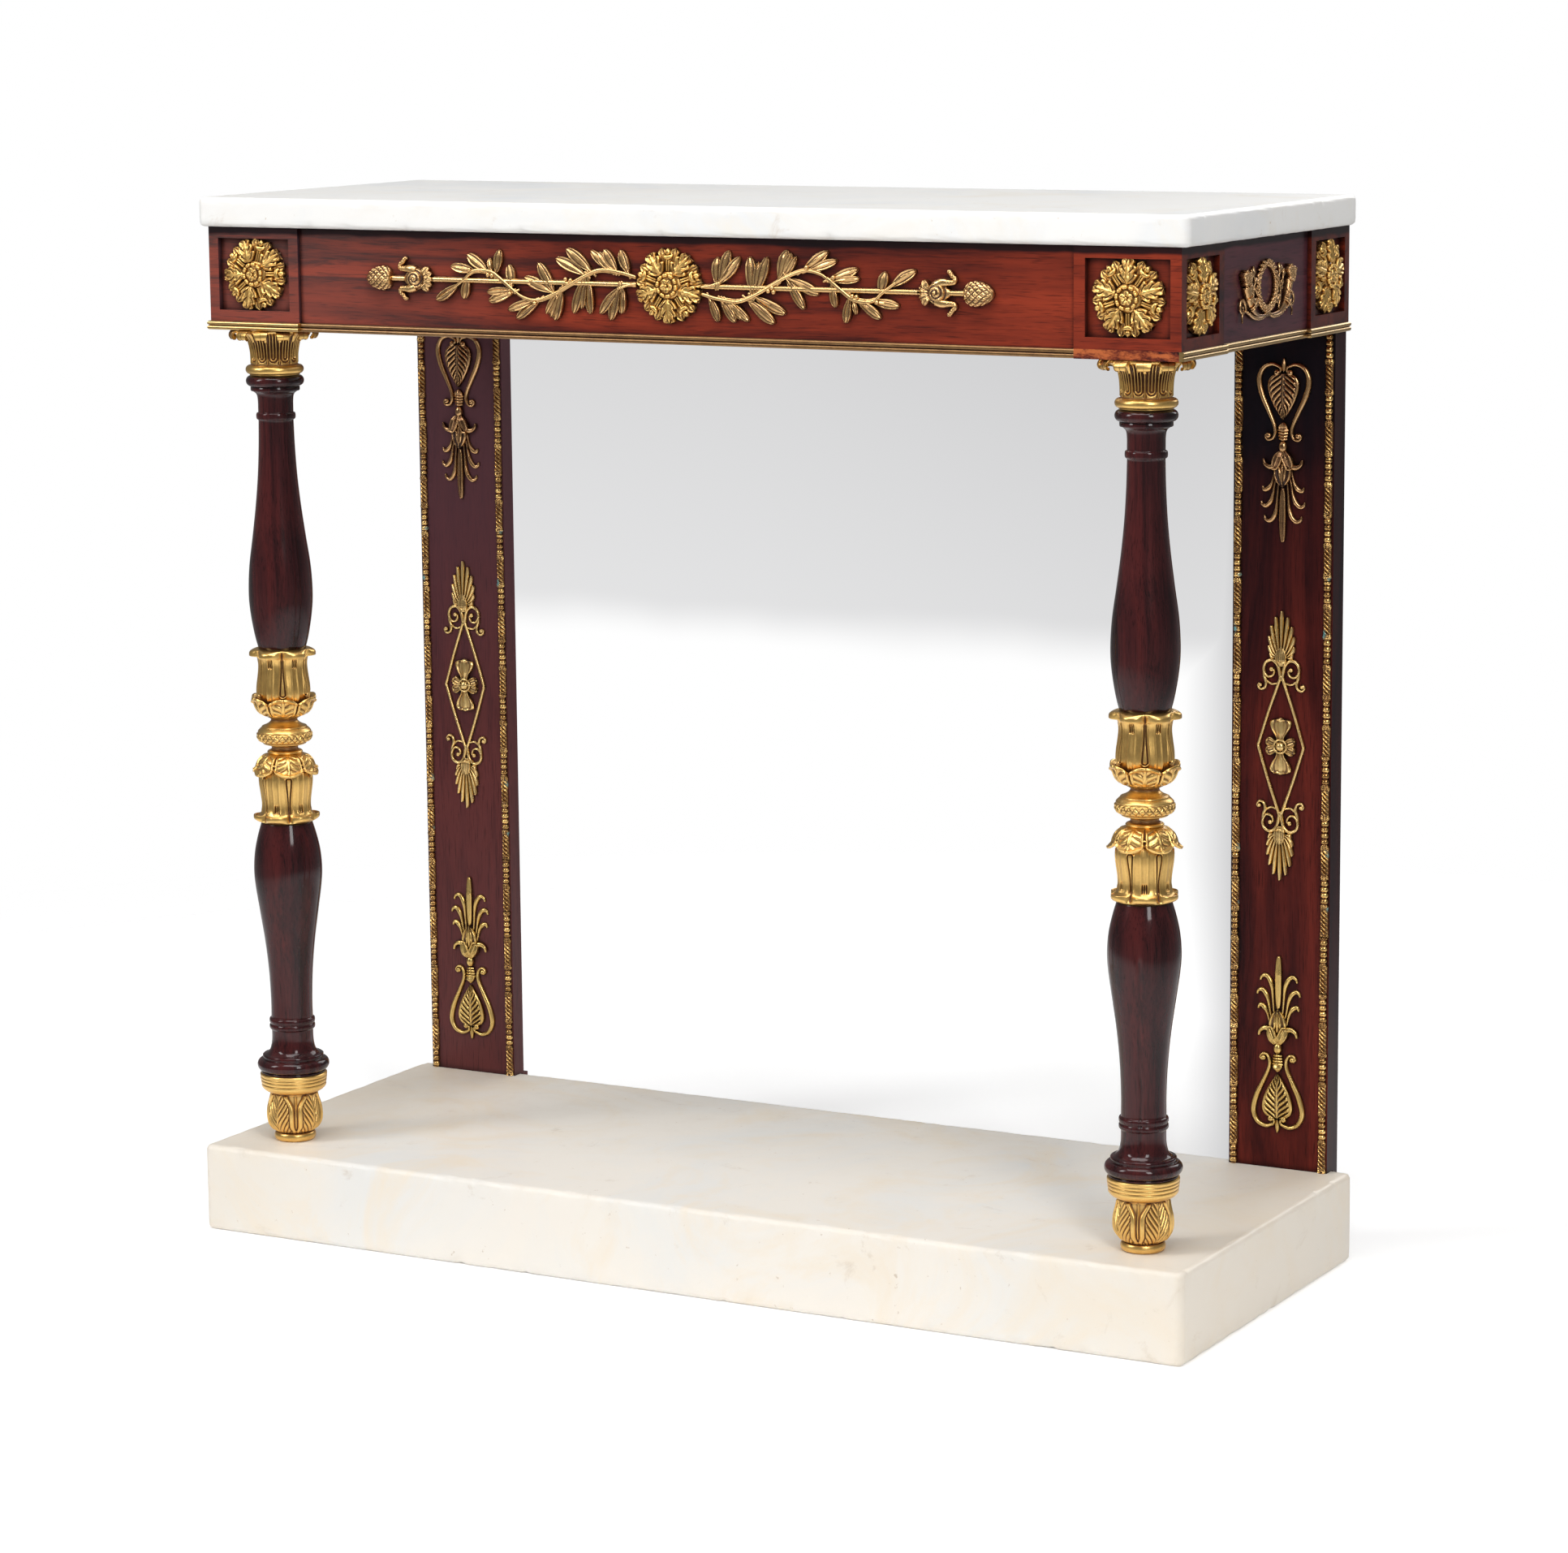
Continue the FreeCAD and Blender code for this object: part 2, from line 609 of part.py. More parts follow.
def corner_moulding():
    """The strip round a right-hand front block: along its front, then back along its side."""
    y_seat = Y_BLOCK_FRONT + MOULDING_SEAT
    return moulding([(X_BLOCK_IN, y_seat), (X_BLOCK_SEAT, y_seat), (X_BLOCK_SEAT, Y_FRONT_BLOCK_BACK)])


def side_moulding(start):
    """The run along a right-hand side to the wall, stepping round the rear block."""
    return moulding(
        start
        + [
            (X_BLOCK_SEAT, Y_FRONT_BLOCK_BACK),
            (X_RAIL_SEAT, Y_FRONT_BLOCK_BACK),
            (X_RAIL_SEAT, Y_REAR_BLOCK_FRONT),
            (X_BLOCK_SEAT, Y_REAR_BLOCK_FRONT),
            (X_BLOCK_SEAT, Y_WOOD_BACK),
        ]
    )


def right_moulding():
    """On the right the run also covers the side of the front block."""
    return side_moulding([(X_BLOCK_SEAT, Y_BLOCK_FRONT)])


def left_moulding():
    return mirrored_x(side_moulding([]))


# ---------------------------------------------------------------- columns
def foot():
    """Cast foot: base ring, baluster wrapped in leaves, reeded drum."""
    base_rise = FOOT_BASE_RADIUS - FOOT_NECK_RADIUS
    drum_z = FOOT_HEIGHT - FOOT_DRUM_HEIGHT
    belly_z = (FOOT_BASE_HEIGHT + drum_z) / 2
    shoulder_radius = (FOOT_NECK_RADIUS + FOOT_BODY_RADIUS) / 2
    outline = Outline(FOOT_NECK_RADIUS, 0).bead(FOOT_BASE_HEIGHT, base_rise)
    outline.curve([(FOOT_BODY_RADIUS - FOOT_LEAF_RELIEF / 2, belly_z), (shoulder_radius, drum_z)])
    outline.line(FOOT_DRUM_RADIUS - FOOT_REED_RISE, drum_z)
    for _ in range(FOOT_DRUM_REEDS):
        outline.bead(FOOT_DRUM_HEIGHT / FOOT_DRUM_REEDS, FOOT_REED_RISE)
    leaves = lobed_solid(
        [
            (FOOT_BASE_HEIGHT, FOOT_NECK_RADIUS - FOOT_LEAF_RELIEF / 2, FOOT_NECK_RADIUS),
            (belly_z, FOOT_BODY_RADIUS - FOOT_LEAF_RELIEF, FOOT_BODY_RADIUS),
            (drum_z, shoulder_radius - FOOT_LEAF_RELIEF / 2, shoulder_radius + FOOT_LEAF_RELIEF / 2),
        ],
        FOOT_LEAVES,
        math.pi / FOOT_LEAVES,
    )
    return bored(fused([outline.solid(), leaves]), (0, FOOT_HEIGHT))


def turned_ring(outline, waist_radius, z, height):
    """A ring on a shaft: a small step out, a round crest, a step back."""
    step = waist_radius + RING_RISE
    return outline.line(step, z).bead(height, RING_RISE).line(waist_radius, z + height)


def lower_shaft():
    """Turned shaft: torus and fillet below, a ring, then a belly under the cup."""
    length = LOWER_SHAFT_LENGTH
    waist = LOWER_WAIST_RADIUS
    swell = LOWER_BELLY_RADIUS - waist
    flat_radius = LOWER_TORUS_RADIUS - LOWER_TORUS_RISE
    fillet_top = LOWER_TORUS_HEIGHT + LOWER_FILLET_HEIGHT
    outline = Outline(flat_radius, 0).bead(LOWER_TORUS_HEIGHT, LOWER_TORUS_RISE)
    outline.line(flat_radius, fillet_top).line(waist + 0.2 * swell, fillet_top)
    outline.curve([(waist, (fillet_top + LOWER_RING_RISE_FROM_FOOT) / 2), (waist, LOWER_RING_RISE_FROM_FOOT)])
    turned_ring(outline, waist, LOWER_RING_RISE_FROM_FOOT, LOWER_RING_HEIGHT)
    outline.curve(
        [
            (waist + 0.03 * swell, 0.36 * length),
            (waist + 0.39 * swell, 0.53 * length),
            (LOWER_BELLY_RADIUS, 0.81 * length),
            (CUP_WAIST_RADIUS, length),
        ]
    )
    return outline.solid()


def upper_shaft():
    """Turned shaft: a belly over the cup, a long waist, ring, fillet and torus."""
    length = UPPER_SHAFT_LENGTH
    waist = UPPER_WAIST_RADIUS
    swell = UPPER_BELLY_RADIUS - waist
    ring_z = length - UPPER_RING_DROP_FROM_TOP
    ring_top = ring_z + UPPER_RING_HEIGHT
    fillet_z = length - UPPER_TORUS_HEIGHT - UPPER_FILLET_HEIGHT
    fillet_radius = CAPITAL_TORUS_RADIUS - UPPER_TORUS_RISE
    outline = Outline(CUP_WAIST_RADIUS, 0)
    outline.curve(
        [
            (UPPER_BELLY_RADIUS, 0.21 * length),
            (waist + 0.62 * swell, 0.42 * length),
            (waist + 0.17 * swell, 0.635 * length),
            (waist, ring_z),
        ]
    )
    turned_ring(outline, waist, ring_z, UPPER_RING_HEIGHT)
    outline.curve([(waist, (ring_top + fillet_z) / 2), (waist + 0.2 * swell, fillet_z)])
    outline.line(fillet_radius, fillet_z).line(fillet_radius, fillet_z + UPPER_FILLET_HEIGHT)
    outline.bead(UPPER_TORUS_HEIGHT, UPPER_TORUS_RISE)
    return outline.solid()


def tulip_cup():
    """Cast cup, neck down: calyx bowl with curled tips, fluted tulip, crown of petals."""
    calyx_relief = CALYX_TIP_RADIUS - CUP_BOWL_RADIUS
    petal_relief = CUP_TIP_RADIUS - CUP_WAIST_RADIUS
    low_bowl_radius = (CUP_NECK_RADIUS + 2 * CUP_BOWL_RADIUS) / 3
    tip_z = 0.32 * CUP_HEIGHT
    bowl_top_z = 0.42 * CUP_HEIGHT
    crown_z = 0.8 * CUP_HEIGHT
    outline = Outline(CUP_NECK_RADIUS, 0)
    outline.curve([(low_bowl_radius, 0.17 * CUP_HEIGHT), (CUP_BOWL_RADIUS, tip_z)])
    outline.curve([(CUP_BOWL_RADIUS, bowl_top_z), (CUP_WAIST_RADIUS, crown_z)])
    outline.line(CUP_WAIST_RADIUS, CUP_HEIGHT)
    calyx = lobed_solid(
        [
            (0.08 * CUP_HEIGHT, CUP_NECK_RADIUS, CUP_NECK_RADIUS + 0.5 * calyx_relief),
            (0.2 * CUP_HEIGHT, low_bowl_radius, CUP_BOWL_RADIUS + 0.1 * calyx_relief),
            (tip_z, CUP_BOWL_RADIUS, CALYX_TIP_RADIUS),
        ],
        CUP_LEAVES,
    )
    petals = lobed_solid(
        [
            (bowl_top_z, CUP_BOWL_RADIUS - 0.2 * petal_relief, CUP_BOWL_RADIUS + 0.1 * petal_relief),
            (crown_z, CUP_WAIST_RADIUS - 0.1 * petal_relief, CUP_WAIST_RADIUS + 0.2 * petal_relief),
            (CUP_HEIGHT - CUP_LIP_DROP, CUP_WAIST_RADIUS + 0.2 * petal_relief, CUP_TIP_RADIUS),
        ],
        CUP_LEAVES,
        math.pi / CUP_LEAVES,
    )
    return bored(fused([outline.solid(), calyx, petals]), (0, CUP_HEIGHT))


def knop():
    """Turned knop between the cups, with a thin disc below it and a neck above."""
    band_top = KNOP_FOOT_HEIGHT + KNOP_BAND_HEIGHT
    outline = Outline(CUP_NECK_RADIUS, 0).bead(KNOP_DISC_HEIGHT, KNOP_DISC_RISE)
    outline.line(KNOP_NECK_RADIUS, KNOP_DISC_HEIGHT).line(KNOP_NECK_RADIUS, KNOP_FOOT_HEIGHT)
    outline.line(KNOP_RADIUS - KNOP_BAND_RISE, KNOP_FOOT_HEIGHT).bead(KNOP_BAND_HEIGHT, KNOP_BAND_RISE)
    outline.line(KNOP_NECK_RADIUS, band_top)
    outline.curve([(KNOP_NECK_RADIUS, (band_top + KNOP_HEIGHT) / 2), (CUP_NECK_RADIUS, KNOP_HEIGHT)])
    return outline.solid()


def capital():
    """Cast capital: torus, fluted bell and a spreading crown of leaves under its abacus."""
    bell_foot_radius = CAPITAL_BELL_RADIUS - CAPITAL_BELL_TAPER
    abacus_radius = CAPITAL_BELL_RADIUS + ABACUS_OVERHANG
    leaf_z = CAPITAL_HEIGHT - ABACUS_HEIGHT
    crown_z = leaf_z - CAPITAL_CROWN_HEIGHT
    outline = Outline(CAPITAL_TORUS_RADIUS - CAPITAL_TORUS_RISE, 0)
    outline.bead(CAPITAL_TORUS_HEIGHT, CAPITAL_TORUS_RISE).line(bell_foot_radius, CAPITAL_TORUS_HEIGHT)
    outline.line(CAPITAL_BELL_RADIUS, crown_z).line(abacus_radius, leaf_z)
    outline.line(abacus_radius, CAPITAL_HEIGHT)
    flutes = lobed_solid(
        [
            (CAPITAL_TORUS_HEIGHT, bell_foot_radius, bell_foot_radius + CAPITAL_FLUTE_RELIEF),
            (crown_z, CAPITAL_BELL_RADIUS, CAPITAL_BELL_RADIUS + CAPITAL_FLUTE_RELIEF),
        ],
        2 * CAPITAL_LEAVES,
    )
    crown = lobed_solid(
        [
            (crown_z - CAPITAL_LEAF_ROOT, bell_foot_radius, CAPITAL_BELL_RADIUS),
            (leaf_z, CAPITAL_LEAF_RADIUS - CAPITAL_LEAF_RELIEF, CAPITAL_LEAF_RADIUS),
        ],
        CAPITAL_LEAVES,
    )
    return bored(fused([outline.solid(), flutes, crown]), (0, CAPITAL_HEIGHT))


def tie_bolt():
    """Iron bolt from the plinth's socket up to its head in the corner block."""
    foot_z = PLINTH_HEIGHT - BOLT_SOCKET_DEPTH
    shank = Part.makeCylinder(BOLT_RADIUS, Z_BOLT_SEAT - foot_z, FreeCAD.Vector(0, 0, foot_z))
    head = Part.makeCylinder(BOLT_HEAD_RADIUS, BOLT_HEAD_HEIGHT, FreeCAD.Vector(0, 0, Z_BOLT_SEAT))
    return fused([shank, head])


def column_pieces():
    """The pieces of the right-hand column, from the plinth to the frieze."""
    lower_cup = turned_about(tulip_cup(), FreeCAD.Vector(1, 0, 0), 180)
    lower_cup = turned_about(lower_cup, UP, 180 / CUP_LEAVES)
    return {
        "foot": moved(foot(), z=PLINTH_HEIGHT),
        "lower_shaft": moved(lower_shaft(), z=Z_FOOT_TOP),
        "lower_cup": moved(lower_cup, z=Z_KNOP),
        "knop": moved(knop(), z=Z_KNOP),
        "upper_cup": moved(tulip_cup(), z=Z_UPPER_CUP),
        "upper_shaft": moved(upper_shaft(), z=Z_UPPER_SHAFT),
        "capital": moved(capital(), z=Z_CAPITAL),
        "tie_bolt": tie_bolt(),
    }


# ---------------------------------------------------------------- uprights
def board():
    """A right-hand upright: it stands on the plinth's rear edge and its tongue hangs behind."""
    panel = box((X_BOARD_IN, X_BOARD_OUT), (Y_BOARD_FACE, Y_WOOD_BACK), (PLINTH_HEIGHT, Z_FRIEZE_UNDER))
    rebate = box(
        (X_BOARD_IN, X_BOARD_IN + BOARD_REBATE_WIDTH),
        (Y_WOOD_BACK - BOARD_REBATE_DEPTH, Y_WOOD_BACK),
        (PLINTH_HEIGHT, Z_FRIEZE_UNDER),
    )
    tongue = box(
        (X_BOARD_IN, X_BOARD_OUT),
        (Y_PLINTH_BACK, Y_WOOD_BACK),
        (PLINTH_HEIGHT - BOARD_TONGUE_DROP, PLINTH_HEIGHT),
    )
    return fused([panel.cut(rebate), tongue])


def bead_strip():
    """A cast edge strip, its back at y = 0: three beads, husk, rope and husk, repeated."""
    length = Z_FRIEZE_UNDER - PLINTH_HEIGHT
    repeats = max(1, round(length / STRIP_PITCH))
    pitch = length / repeats
    bead = 2 * STRIP_BEAD_RADIUS
    rope = STRIP_ROPE_SHARE * pitch
    husk = (pitch - rope - 3 * bead) / 2
    lobes = [(bead, STRIP_BEAD_RADIUS)] * 3
    lobes += [(husk, STRIP_HUSK_RISE), (rope, STRIP_ROPE_RISE), (husk, STRIP_HUSK_RISE)]
    edges = []
    foot = FreeCAD.Vector(0, -STRIP_WEB, 0)
    for height, rise in lobes * repeats:
        head = foot + UP * height
        crest_point = (foot + head) / 2 + PANEL_NORMAL * rise
        edges.append(Part.Arc(foot, crest_point, head).toShape())
        foot = head
    corners = [foot, FreeCAD.Vector(0, 0, length), ORIGIN, FreeCAD.Vector(0, -STRIP_WEB, 0)]
    edges += [Part.LineSegment(a, b).toShape() for a, b in zip(corners, corners[1:])]
    return Part.Face(Part.Wire(edges)).extrude(FreeCAD.Vector(STRIP_WIDTH, 0, 0))


def bead_strips():
    """The pair of strips along both edges of the right-hand upright."""
    inner = moved(bead_strip(), X_BOARD_IN, Y_BOARD_FACE, PLINTH_HEIGHT)
    outer = moved(bead_strip(), X_BOARD_OUT - STRIP_WIDTH, Y_BOARD_FACE, PLINTH_HEIGHT)
    return Part.makeCompound([inner, outer])


def lyre_points(*points):
    """Points across half a lyre and down from its tip, in hundredths of half width and length."""
    return fitted(points, LYRE_WIDTH / 2, -LYRE_LENGTH)


def lyre():
    """Lyre mount hanging from its top point at the origin, spike downwards."""
    arm = lyre_points(
        (11, 5.8), (25, 4.2), (46, 3.0), (80, 5.8), (93, 12.3), (78, 21.4), (48, 30.5), (28, 39.0), (37, 44.2)
    )
    upper_curl, lower_curl, vase = lyre_points((21, 7.1), (50, 43.5), (0, 48.0))
    tip, point_foot = lyre_points((0, 0), (0, 9.7))
    leaf_head, leaf_foot = lyre_points((0, 5.8), (0, 33.8))
    cap_head, cap_foot = lyre_points((0, 32.5), (0, 42.9))
    bud_head, bud_foot = lyre_points((0, 49.4), (0, 71.4))
    spike_head, spike_foot = lyre_points((0, 65.0), (0, 100))
    binding = lyre_points((29, 37.7), (25, 44.8), (-25, 44.8), (-29, 37.7))
    pieces = twin(ribbon(arm, LYRE_BAND, LYRE_THICKNESS))
    pieces += twin(curl(*upper_curl, LYRE_BAND, LYRE_THICKNESS))
    pieces += twin(curl(*lower_curl, LYRE_BAND, LYRE_THICKNESS))
    pieces.append(leaf(tip, point_foot, 1.4 * LYRE_BAND, LYRE_THICKNESS))
    pieces.append(leaf(leaf_head, leaf_foot, 0.56 * LYRE_WIDTH, LYRE_LEAF_THICKNESS))
    pieces.append(leaf(cap_head, cap_foot, 0.15 * LYRE_WIDTH, LYRE_THICKNESS))
    pieces.append(polygon(binding, LYRE_THICKNESS))
    pieces.append(boss(*vase, 0.12 * LYRE_WIDTH, 1.5 * LYRE_THICKNESS))
    pieces.append(leaf(bud_head, bud_foot, 0.35 * LYRE_WIDTH, LYRE_THICKNESS))
    pieces.append(leaf(spike_head, spike_foot, 0.12 * LYRE_WIDTH, LYRE_THICKNESS))
    wing = lyre_points((8, 55.8), (29, 59.7), (52, 62.3), (71, 58.4))
    pieces += twin(ribbon(wing, LYRE_BAND, LYRE_THICKNESS))
    for tip_x, tip_z, root_z in ((81, 72, 62), (89, 80, 64), (91, 86, 66)):
        bend_z = (root_z + tip_z) / 2
        ray = lyre_points((8, root_z), (0.5 * tip_x, bend_z), (0.75 * tip_x, tip_z + 1), (tip_x, tip_z))
        pieces += twin(ribbon(ray, LYRE_BAND, LYRE_THICKNESS))
    return fused(pieces)


def lozenge_points(*points):
    """Points about a lozenge's middle, in hundredths of its half width and half length."""
    return fitted(points, LOZENGE_WIDTH / 2, LOZENGE_LENGTH / 2)


def rhombus(half_width, half_length):
    corners = [(0, half_length), (half_width, 0), (0, -half_length), (-half_width, 0)]
    return polygon(corners, LOZENGE_THICKNESS)


def lozenge():
    """Lozenge mount about its middle: a thin rhombus between two scrolled palmettes."""
    half_width = LOZENGE_WIDTH / 2
    half_length = LOZENGE_FRAME_SHARE * LOZENGE_LENGTH / 2
    band_z = LOZENGE_BAND * half_length / half_width
    frame = rhombus(half_width, half_length).cut(rhombus(half_width - LOZENGE_BAND, half_length - band_z))
    scroll = lozenge_points((4, 50), (12, 58), (37, 63), (64, 60), (67, 53), (71, 46.5), (87, 44.5))
    inner_scroll = lozenge_points((9, 59), (20, 55), (39, 53.5))
    inner_curl, outer_curl, palm_foot, palm_tip = lozenge_points((39, 55.5), (85, 46), (0, 50), (0, 100))
    crown = twin(ribbon(scroll, LOZENGE_BAND, LOZENGE_THICKNESS))
    crown += twin(ribbon(inner_scroll, LOZENGE_BAND, LOZENGE_THICKNESS))
    crown += twin(curl(*inner_curl, LOZENGE_BAND, LOZENGE_THICKNESS))
    crown += twin(curl(*outer_curl, LOZENGE_BAND, LOZENGE_THICKNESS))
    crown.append(leaf(palm_foot, palm_tip, 0.18 * LOZENGE_WIDTH, LOZENGE_THICKNESS))
    for lobe_tip in lozenge_points((24, 95), (43, 88), (57, 80), (62, 72)):
        crown += twin(leaf(palm_foot, lobe_tip, 0.15 * LOZENGE_WIDTH, LOZENGE_THICKNESS))
    upper = fused(crown)
    lower = turned_about(upper, FreeCAD.Vector(0, 1, 0), 180)
    return fused([frame, upper, lower])


def flower():
    """Four-petalled flower pinned inside the lozenge."""
    long_petal = FLOWER_LENGTH / 6
    short_petal = 0.21 * FLOWER_WIDTH
    pieces = [boss(0, 0, FLOWER_BOSS_RADIUS, 2 * FLOWER_THICKNESS)]
    for sign in (-1, 1):
        tip = (0, sign * FLOWER_LENGTH / 2)
        pieces.append(leaf((0, 0), tip, 2 * long_petal, FLOWER_THICKNESS))
        pieces.append(curl(0, sign * 2 * long_petal, long_petal, FLOWER_THICKNESS))
        pieces.append(curl(sign * (FLOWER_WIDTH / 2 - short_petal), 0, short_petal, FLOWER_THICKNESS))
    return fused(pieces)


def upright_mounts():
    """The four mounts of the right-hand upright."""
    low_lyre = turned_about(lyre(), FreeCAD.Vector(0, 1, 0), 180)
    return {
        "upper_lyre_mount": moved(lyre(), X_BOARD_MIDDLE, Y_BOARD_FACE, Z_UPPER_LYRE_TIP),
        "lozenge_mount": moved(lozenge(), X_BOARD_MIDDLE, Y_BOARD_FACE, Z_LOZENGE),
        "lozenge_flower": moved(flower(), X_BOARD_MIDDLE, Y_BOARD_FACE, Z_LOZENGE),
        "lower_lyre_mount": moved(low_lyre, X_BOARD_MIDDLE, Y_BOARD_FACE, Z_LOWER_LYRE_TIP),
    }


# ---------------------------------------------------------------- frieze mounts
def leaf_ring(height, count, foot_share, head_share):
    """A ring of lobes, one at the top; the shares give valley and tip radius as parts of the rosette's."""
    sections = [
        (level, valley * ROSETTE_RADIUS, tip * ROSETTE_RADIUS)
        for level, (valley, tip) in ((0, foot_share), (height, head_share))
    ]
    ring = lobed_solid(sections, count, math.pi / 2)
    return turned_about(ring, FreeCAD.Vector(1, 0, 0), 90)


def rosette():
    """Acanthus rosette: a fringe of small leaves, large leaves with seed pods between, a beaded heart."""
    step = 2 * math.pi / ROSETTE_LEAVES
    pod_reach = 0.84 * ROSETTE_RADIUS
    pieces = [
        leaf_ring(ROSETTE_FRINGE_RELIEF, 3 * ROSETTE_LEAVES, (0.85, 1.0), (0.82, 0.97)),
        leaf_ring(ROSETTE_LEAF_RELIEF, ROSETTE_LEAVES, (0.58, 0.94), (0.5, 0.88)),
        leaf_ring(ROSETTE_BEAD_RELIEF, 2 * ROSETTE_LEAVES, (0.38, 0.43), (0.34, 0.39)),
        boss(0, 0, ROSETTE_HEIGHT, ROSETTE_HEIGHT),
    ]
    for index in range(ROSETTE_LEAVES):
        angle = math.pi / 2 + (index + 0.5) * step
        x, z = pod_reach * math.cos(angle), pod_reach * math.sin(angle)
        pieces.append(boss(x, z, ROSETTE_POD_RADIUS, ROSETTE_POD_RADIUS))
    return fused(pieces)


def garland_points(points):
    """Points from the rosette's rim, in hundredths of the garland's length and half height."""
    return fitted(points, GARLAND_LENGTH, GARLAND_HEIGHT / 2)


def garland():
    """Right half of the front mount, drawn from the rim of the centre rosette outwards."""
    stems = [
        [(0, -19), (7, -31), (17, -37), (25, -18), (32, 5), (39, 29), (48, 47), (55, 40), (60, 22)],
        [(58, 31), (65, -3), (71, -25), (78, -26), (83, -3), (89, 23)],
        [(0, -2), (4, 2), (9, 12)],
    ]
    sprays = [
        [(7, 3), (7.5, 77)], [(8, 6), (13, 95)], [(8, 6), (18, 79)],
        [(23, -19), (22.5, 81)], [(25, -16), (30.5, 81)],
        [(36, 19), (39.5, 100)], [(37, 23), (44, 84)],
        [(46.5, 45), (58.5, 98)], [(49, 47), (62.5, 76)],
        [(58.5, 26), (72, 55)], [(60, 23), (73, 30)],
        [(39.5, 29), (47.5, -52)], [(40.5, 27), (54.5, -12)],
        [(60, 19), (61.5, -45)],
        [(3.5, -26), (7.5, -90)],
        [(9, -32), (15.5, -90)], [(12, -34), (22, -87)],
        [(21, -29), (33.5, -90)], [(24, -21), (39, -65)],
        [(68.5, -16), (66, -84)], [(70, -21), (71.5, -61)],
        [(72, -26), (82, -69)],
        [(78, -26), (90.5, -37)],
        [(82, -11), (84.5, 50)],
        [(86.5, 10), (98, 55)],
    ]
    berries = [(33, 2), (34, -8), (31.5, -5), (70, -16), (71.5, -16), (81, -28), (49, 55), (60.5, 30)]
    pieces = [half_round((0, GARLAND_LENGTH), ROD_RADIUS)]
    pieces += [ribbon(garland_points(line), STEM_WIDTH, STEM_THICKNESS) for line in stems]
    pieces += [leaf(*garland_points(spray), SPRAY_WIDTH, SPRAY_THICKNESS) for spray in sprays]
    pieces += [boss(x, z, BERRY_RADIUS, BERRY_RADIUS) for x, z in garland_points(berries)]
    return moved(fused(pieces), X_GARLAND)


def pine_cone():
    """Front half of a pine cone, its base at the origin and its point along X."""
    profile = fitted([(0, 0), (12, 72), (42, 100), (100, 0)], CONE_LENGTH, CONE_RADIUS)
    knots = [flat(*point) for point in profile]
    spline = Part.BSplineCurve()
    spline.interpolate(knots)
    face = Part.Face(Part.Wire([spline.toShape(), Part.LineSegment(knots[-1], knots[0]).toShape()]))
    cone = face.revolve(ORIGIN, FreeCAD.Vector(1, 0, 0), 360)
    reach = 2 * CONE_RADIUS
    return cone.common(box((0, CONE_LENGTH), (-reach, 0), (-reach, reach)))


def pine_finial():
    """Leaf cup, bare rod and pine cone, from the garland's end outwards along X."""
    x_cone = LEAF_CUP_LENGTH + FINIAL_GAP
    collar_length = 1.5 * LEAF_CUP_RADIUS
    overlap = ROD_RADIUS
    horn_line = [(29, 33), (54, 75), (79, 125), (100, 208), (117, 275)]
    horn_line = fitted(horn_line, LEAF_CUP_LENGTH, LEAF_CUP_RADIUS)
    horn = ribbon(horn_line, LEAF_CUP_HORN_WIDTH, LEAF_CUP_HORN_THICKNESS)
    pieces = [
        half_round((0, collar_length), LEAF_CUP_RADIUS),
        half_round((collar_length - overlap, x_cone + overlap), ROD_RADIUS),
        horn,
        horn.mirror(ORIGIN, UP),
        moved(pine_cone(), x_cone),
    ]
    return fused(pieces)


def wreath_points(points):
    """Points about the ring's centre, in hundredths of the half span and the ring's radius."""
    return fitted(points, WREATH_SPAN / 2, WREATH_RADIUS)


def side_wreath():
    """Wreath between two cornucopias, drawn flat about the ring's centre."""
    ring = Part.makeCylinder(WREATH_RADIUS, WREATH_THICKNESS, ORIGIN, PANEL_NORMAL)
    ring = ring.cut(Part.makeCylinder(WREATH_OPENING_RADIUS, WREATH_THICKNESS, ORIGIN, PANEL_NORMAL))
    horn = wreath_points([(70, 29), (89, 32), (74, -63), (53, -102), (47, -83), (63, -39)])
    tail = wreath_points([(0, -98), (25, -112), (53, -98), (75, -85), (95, -98)])
    scroll = wreath_points([(72, -88), (81, -51), (93, -41), (98, -68), (94, -98)])
    tendril = wreath_points([(46, -83), (47, -29), (40, 20), (53, 49)])
    link = wreath_points([(31, 0), (39, 10), (44, 0)])
    knot_left, knot_right, blossom = wreath_points([(-14, -102), (14, -102), (79, 49)])
    pieces = [ring, leaf(knot_left, knot_right, 3 * TENDRIL_WIDTH, WREATH_THICKNESS)]
    pieces += twin(polygon(horn, WREATH_THICKNESS))
    pieces += twin(ribbon(tail, 1.5 * TENDRIL_WIDTH, TENDRIL_THICKNESS))
    for line in (scroll, tendril, link):
        pieces += twin(ribbon(line, TENDRIL_WIDTH, TENDRIL_THICKNESS))
    pieces += twin(boss(*blossom, BLOSSOM_RADIUS, BLOSSOM_HEIGHT))
    return fused(pieces)


def place_on_side(shape, y, z, x_face):
    """Turn a flat mount onto the right-hand side, its relief towards +X."""
    return moved(turned_about(shape, UP, 90), x_face, y, z)


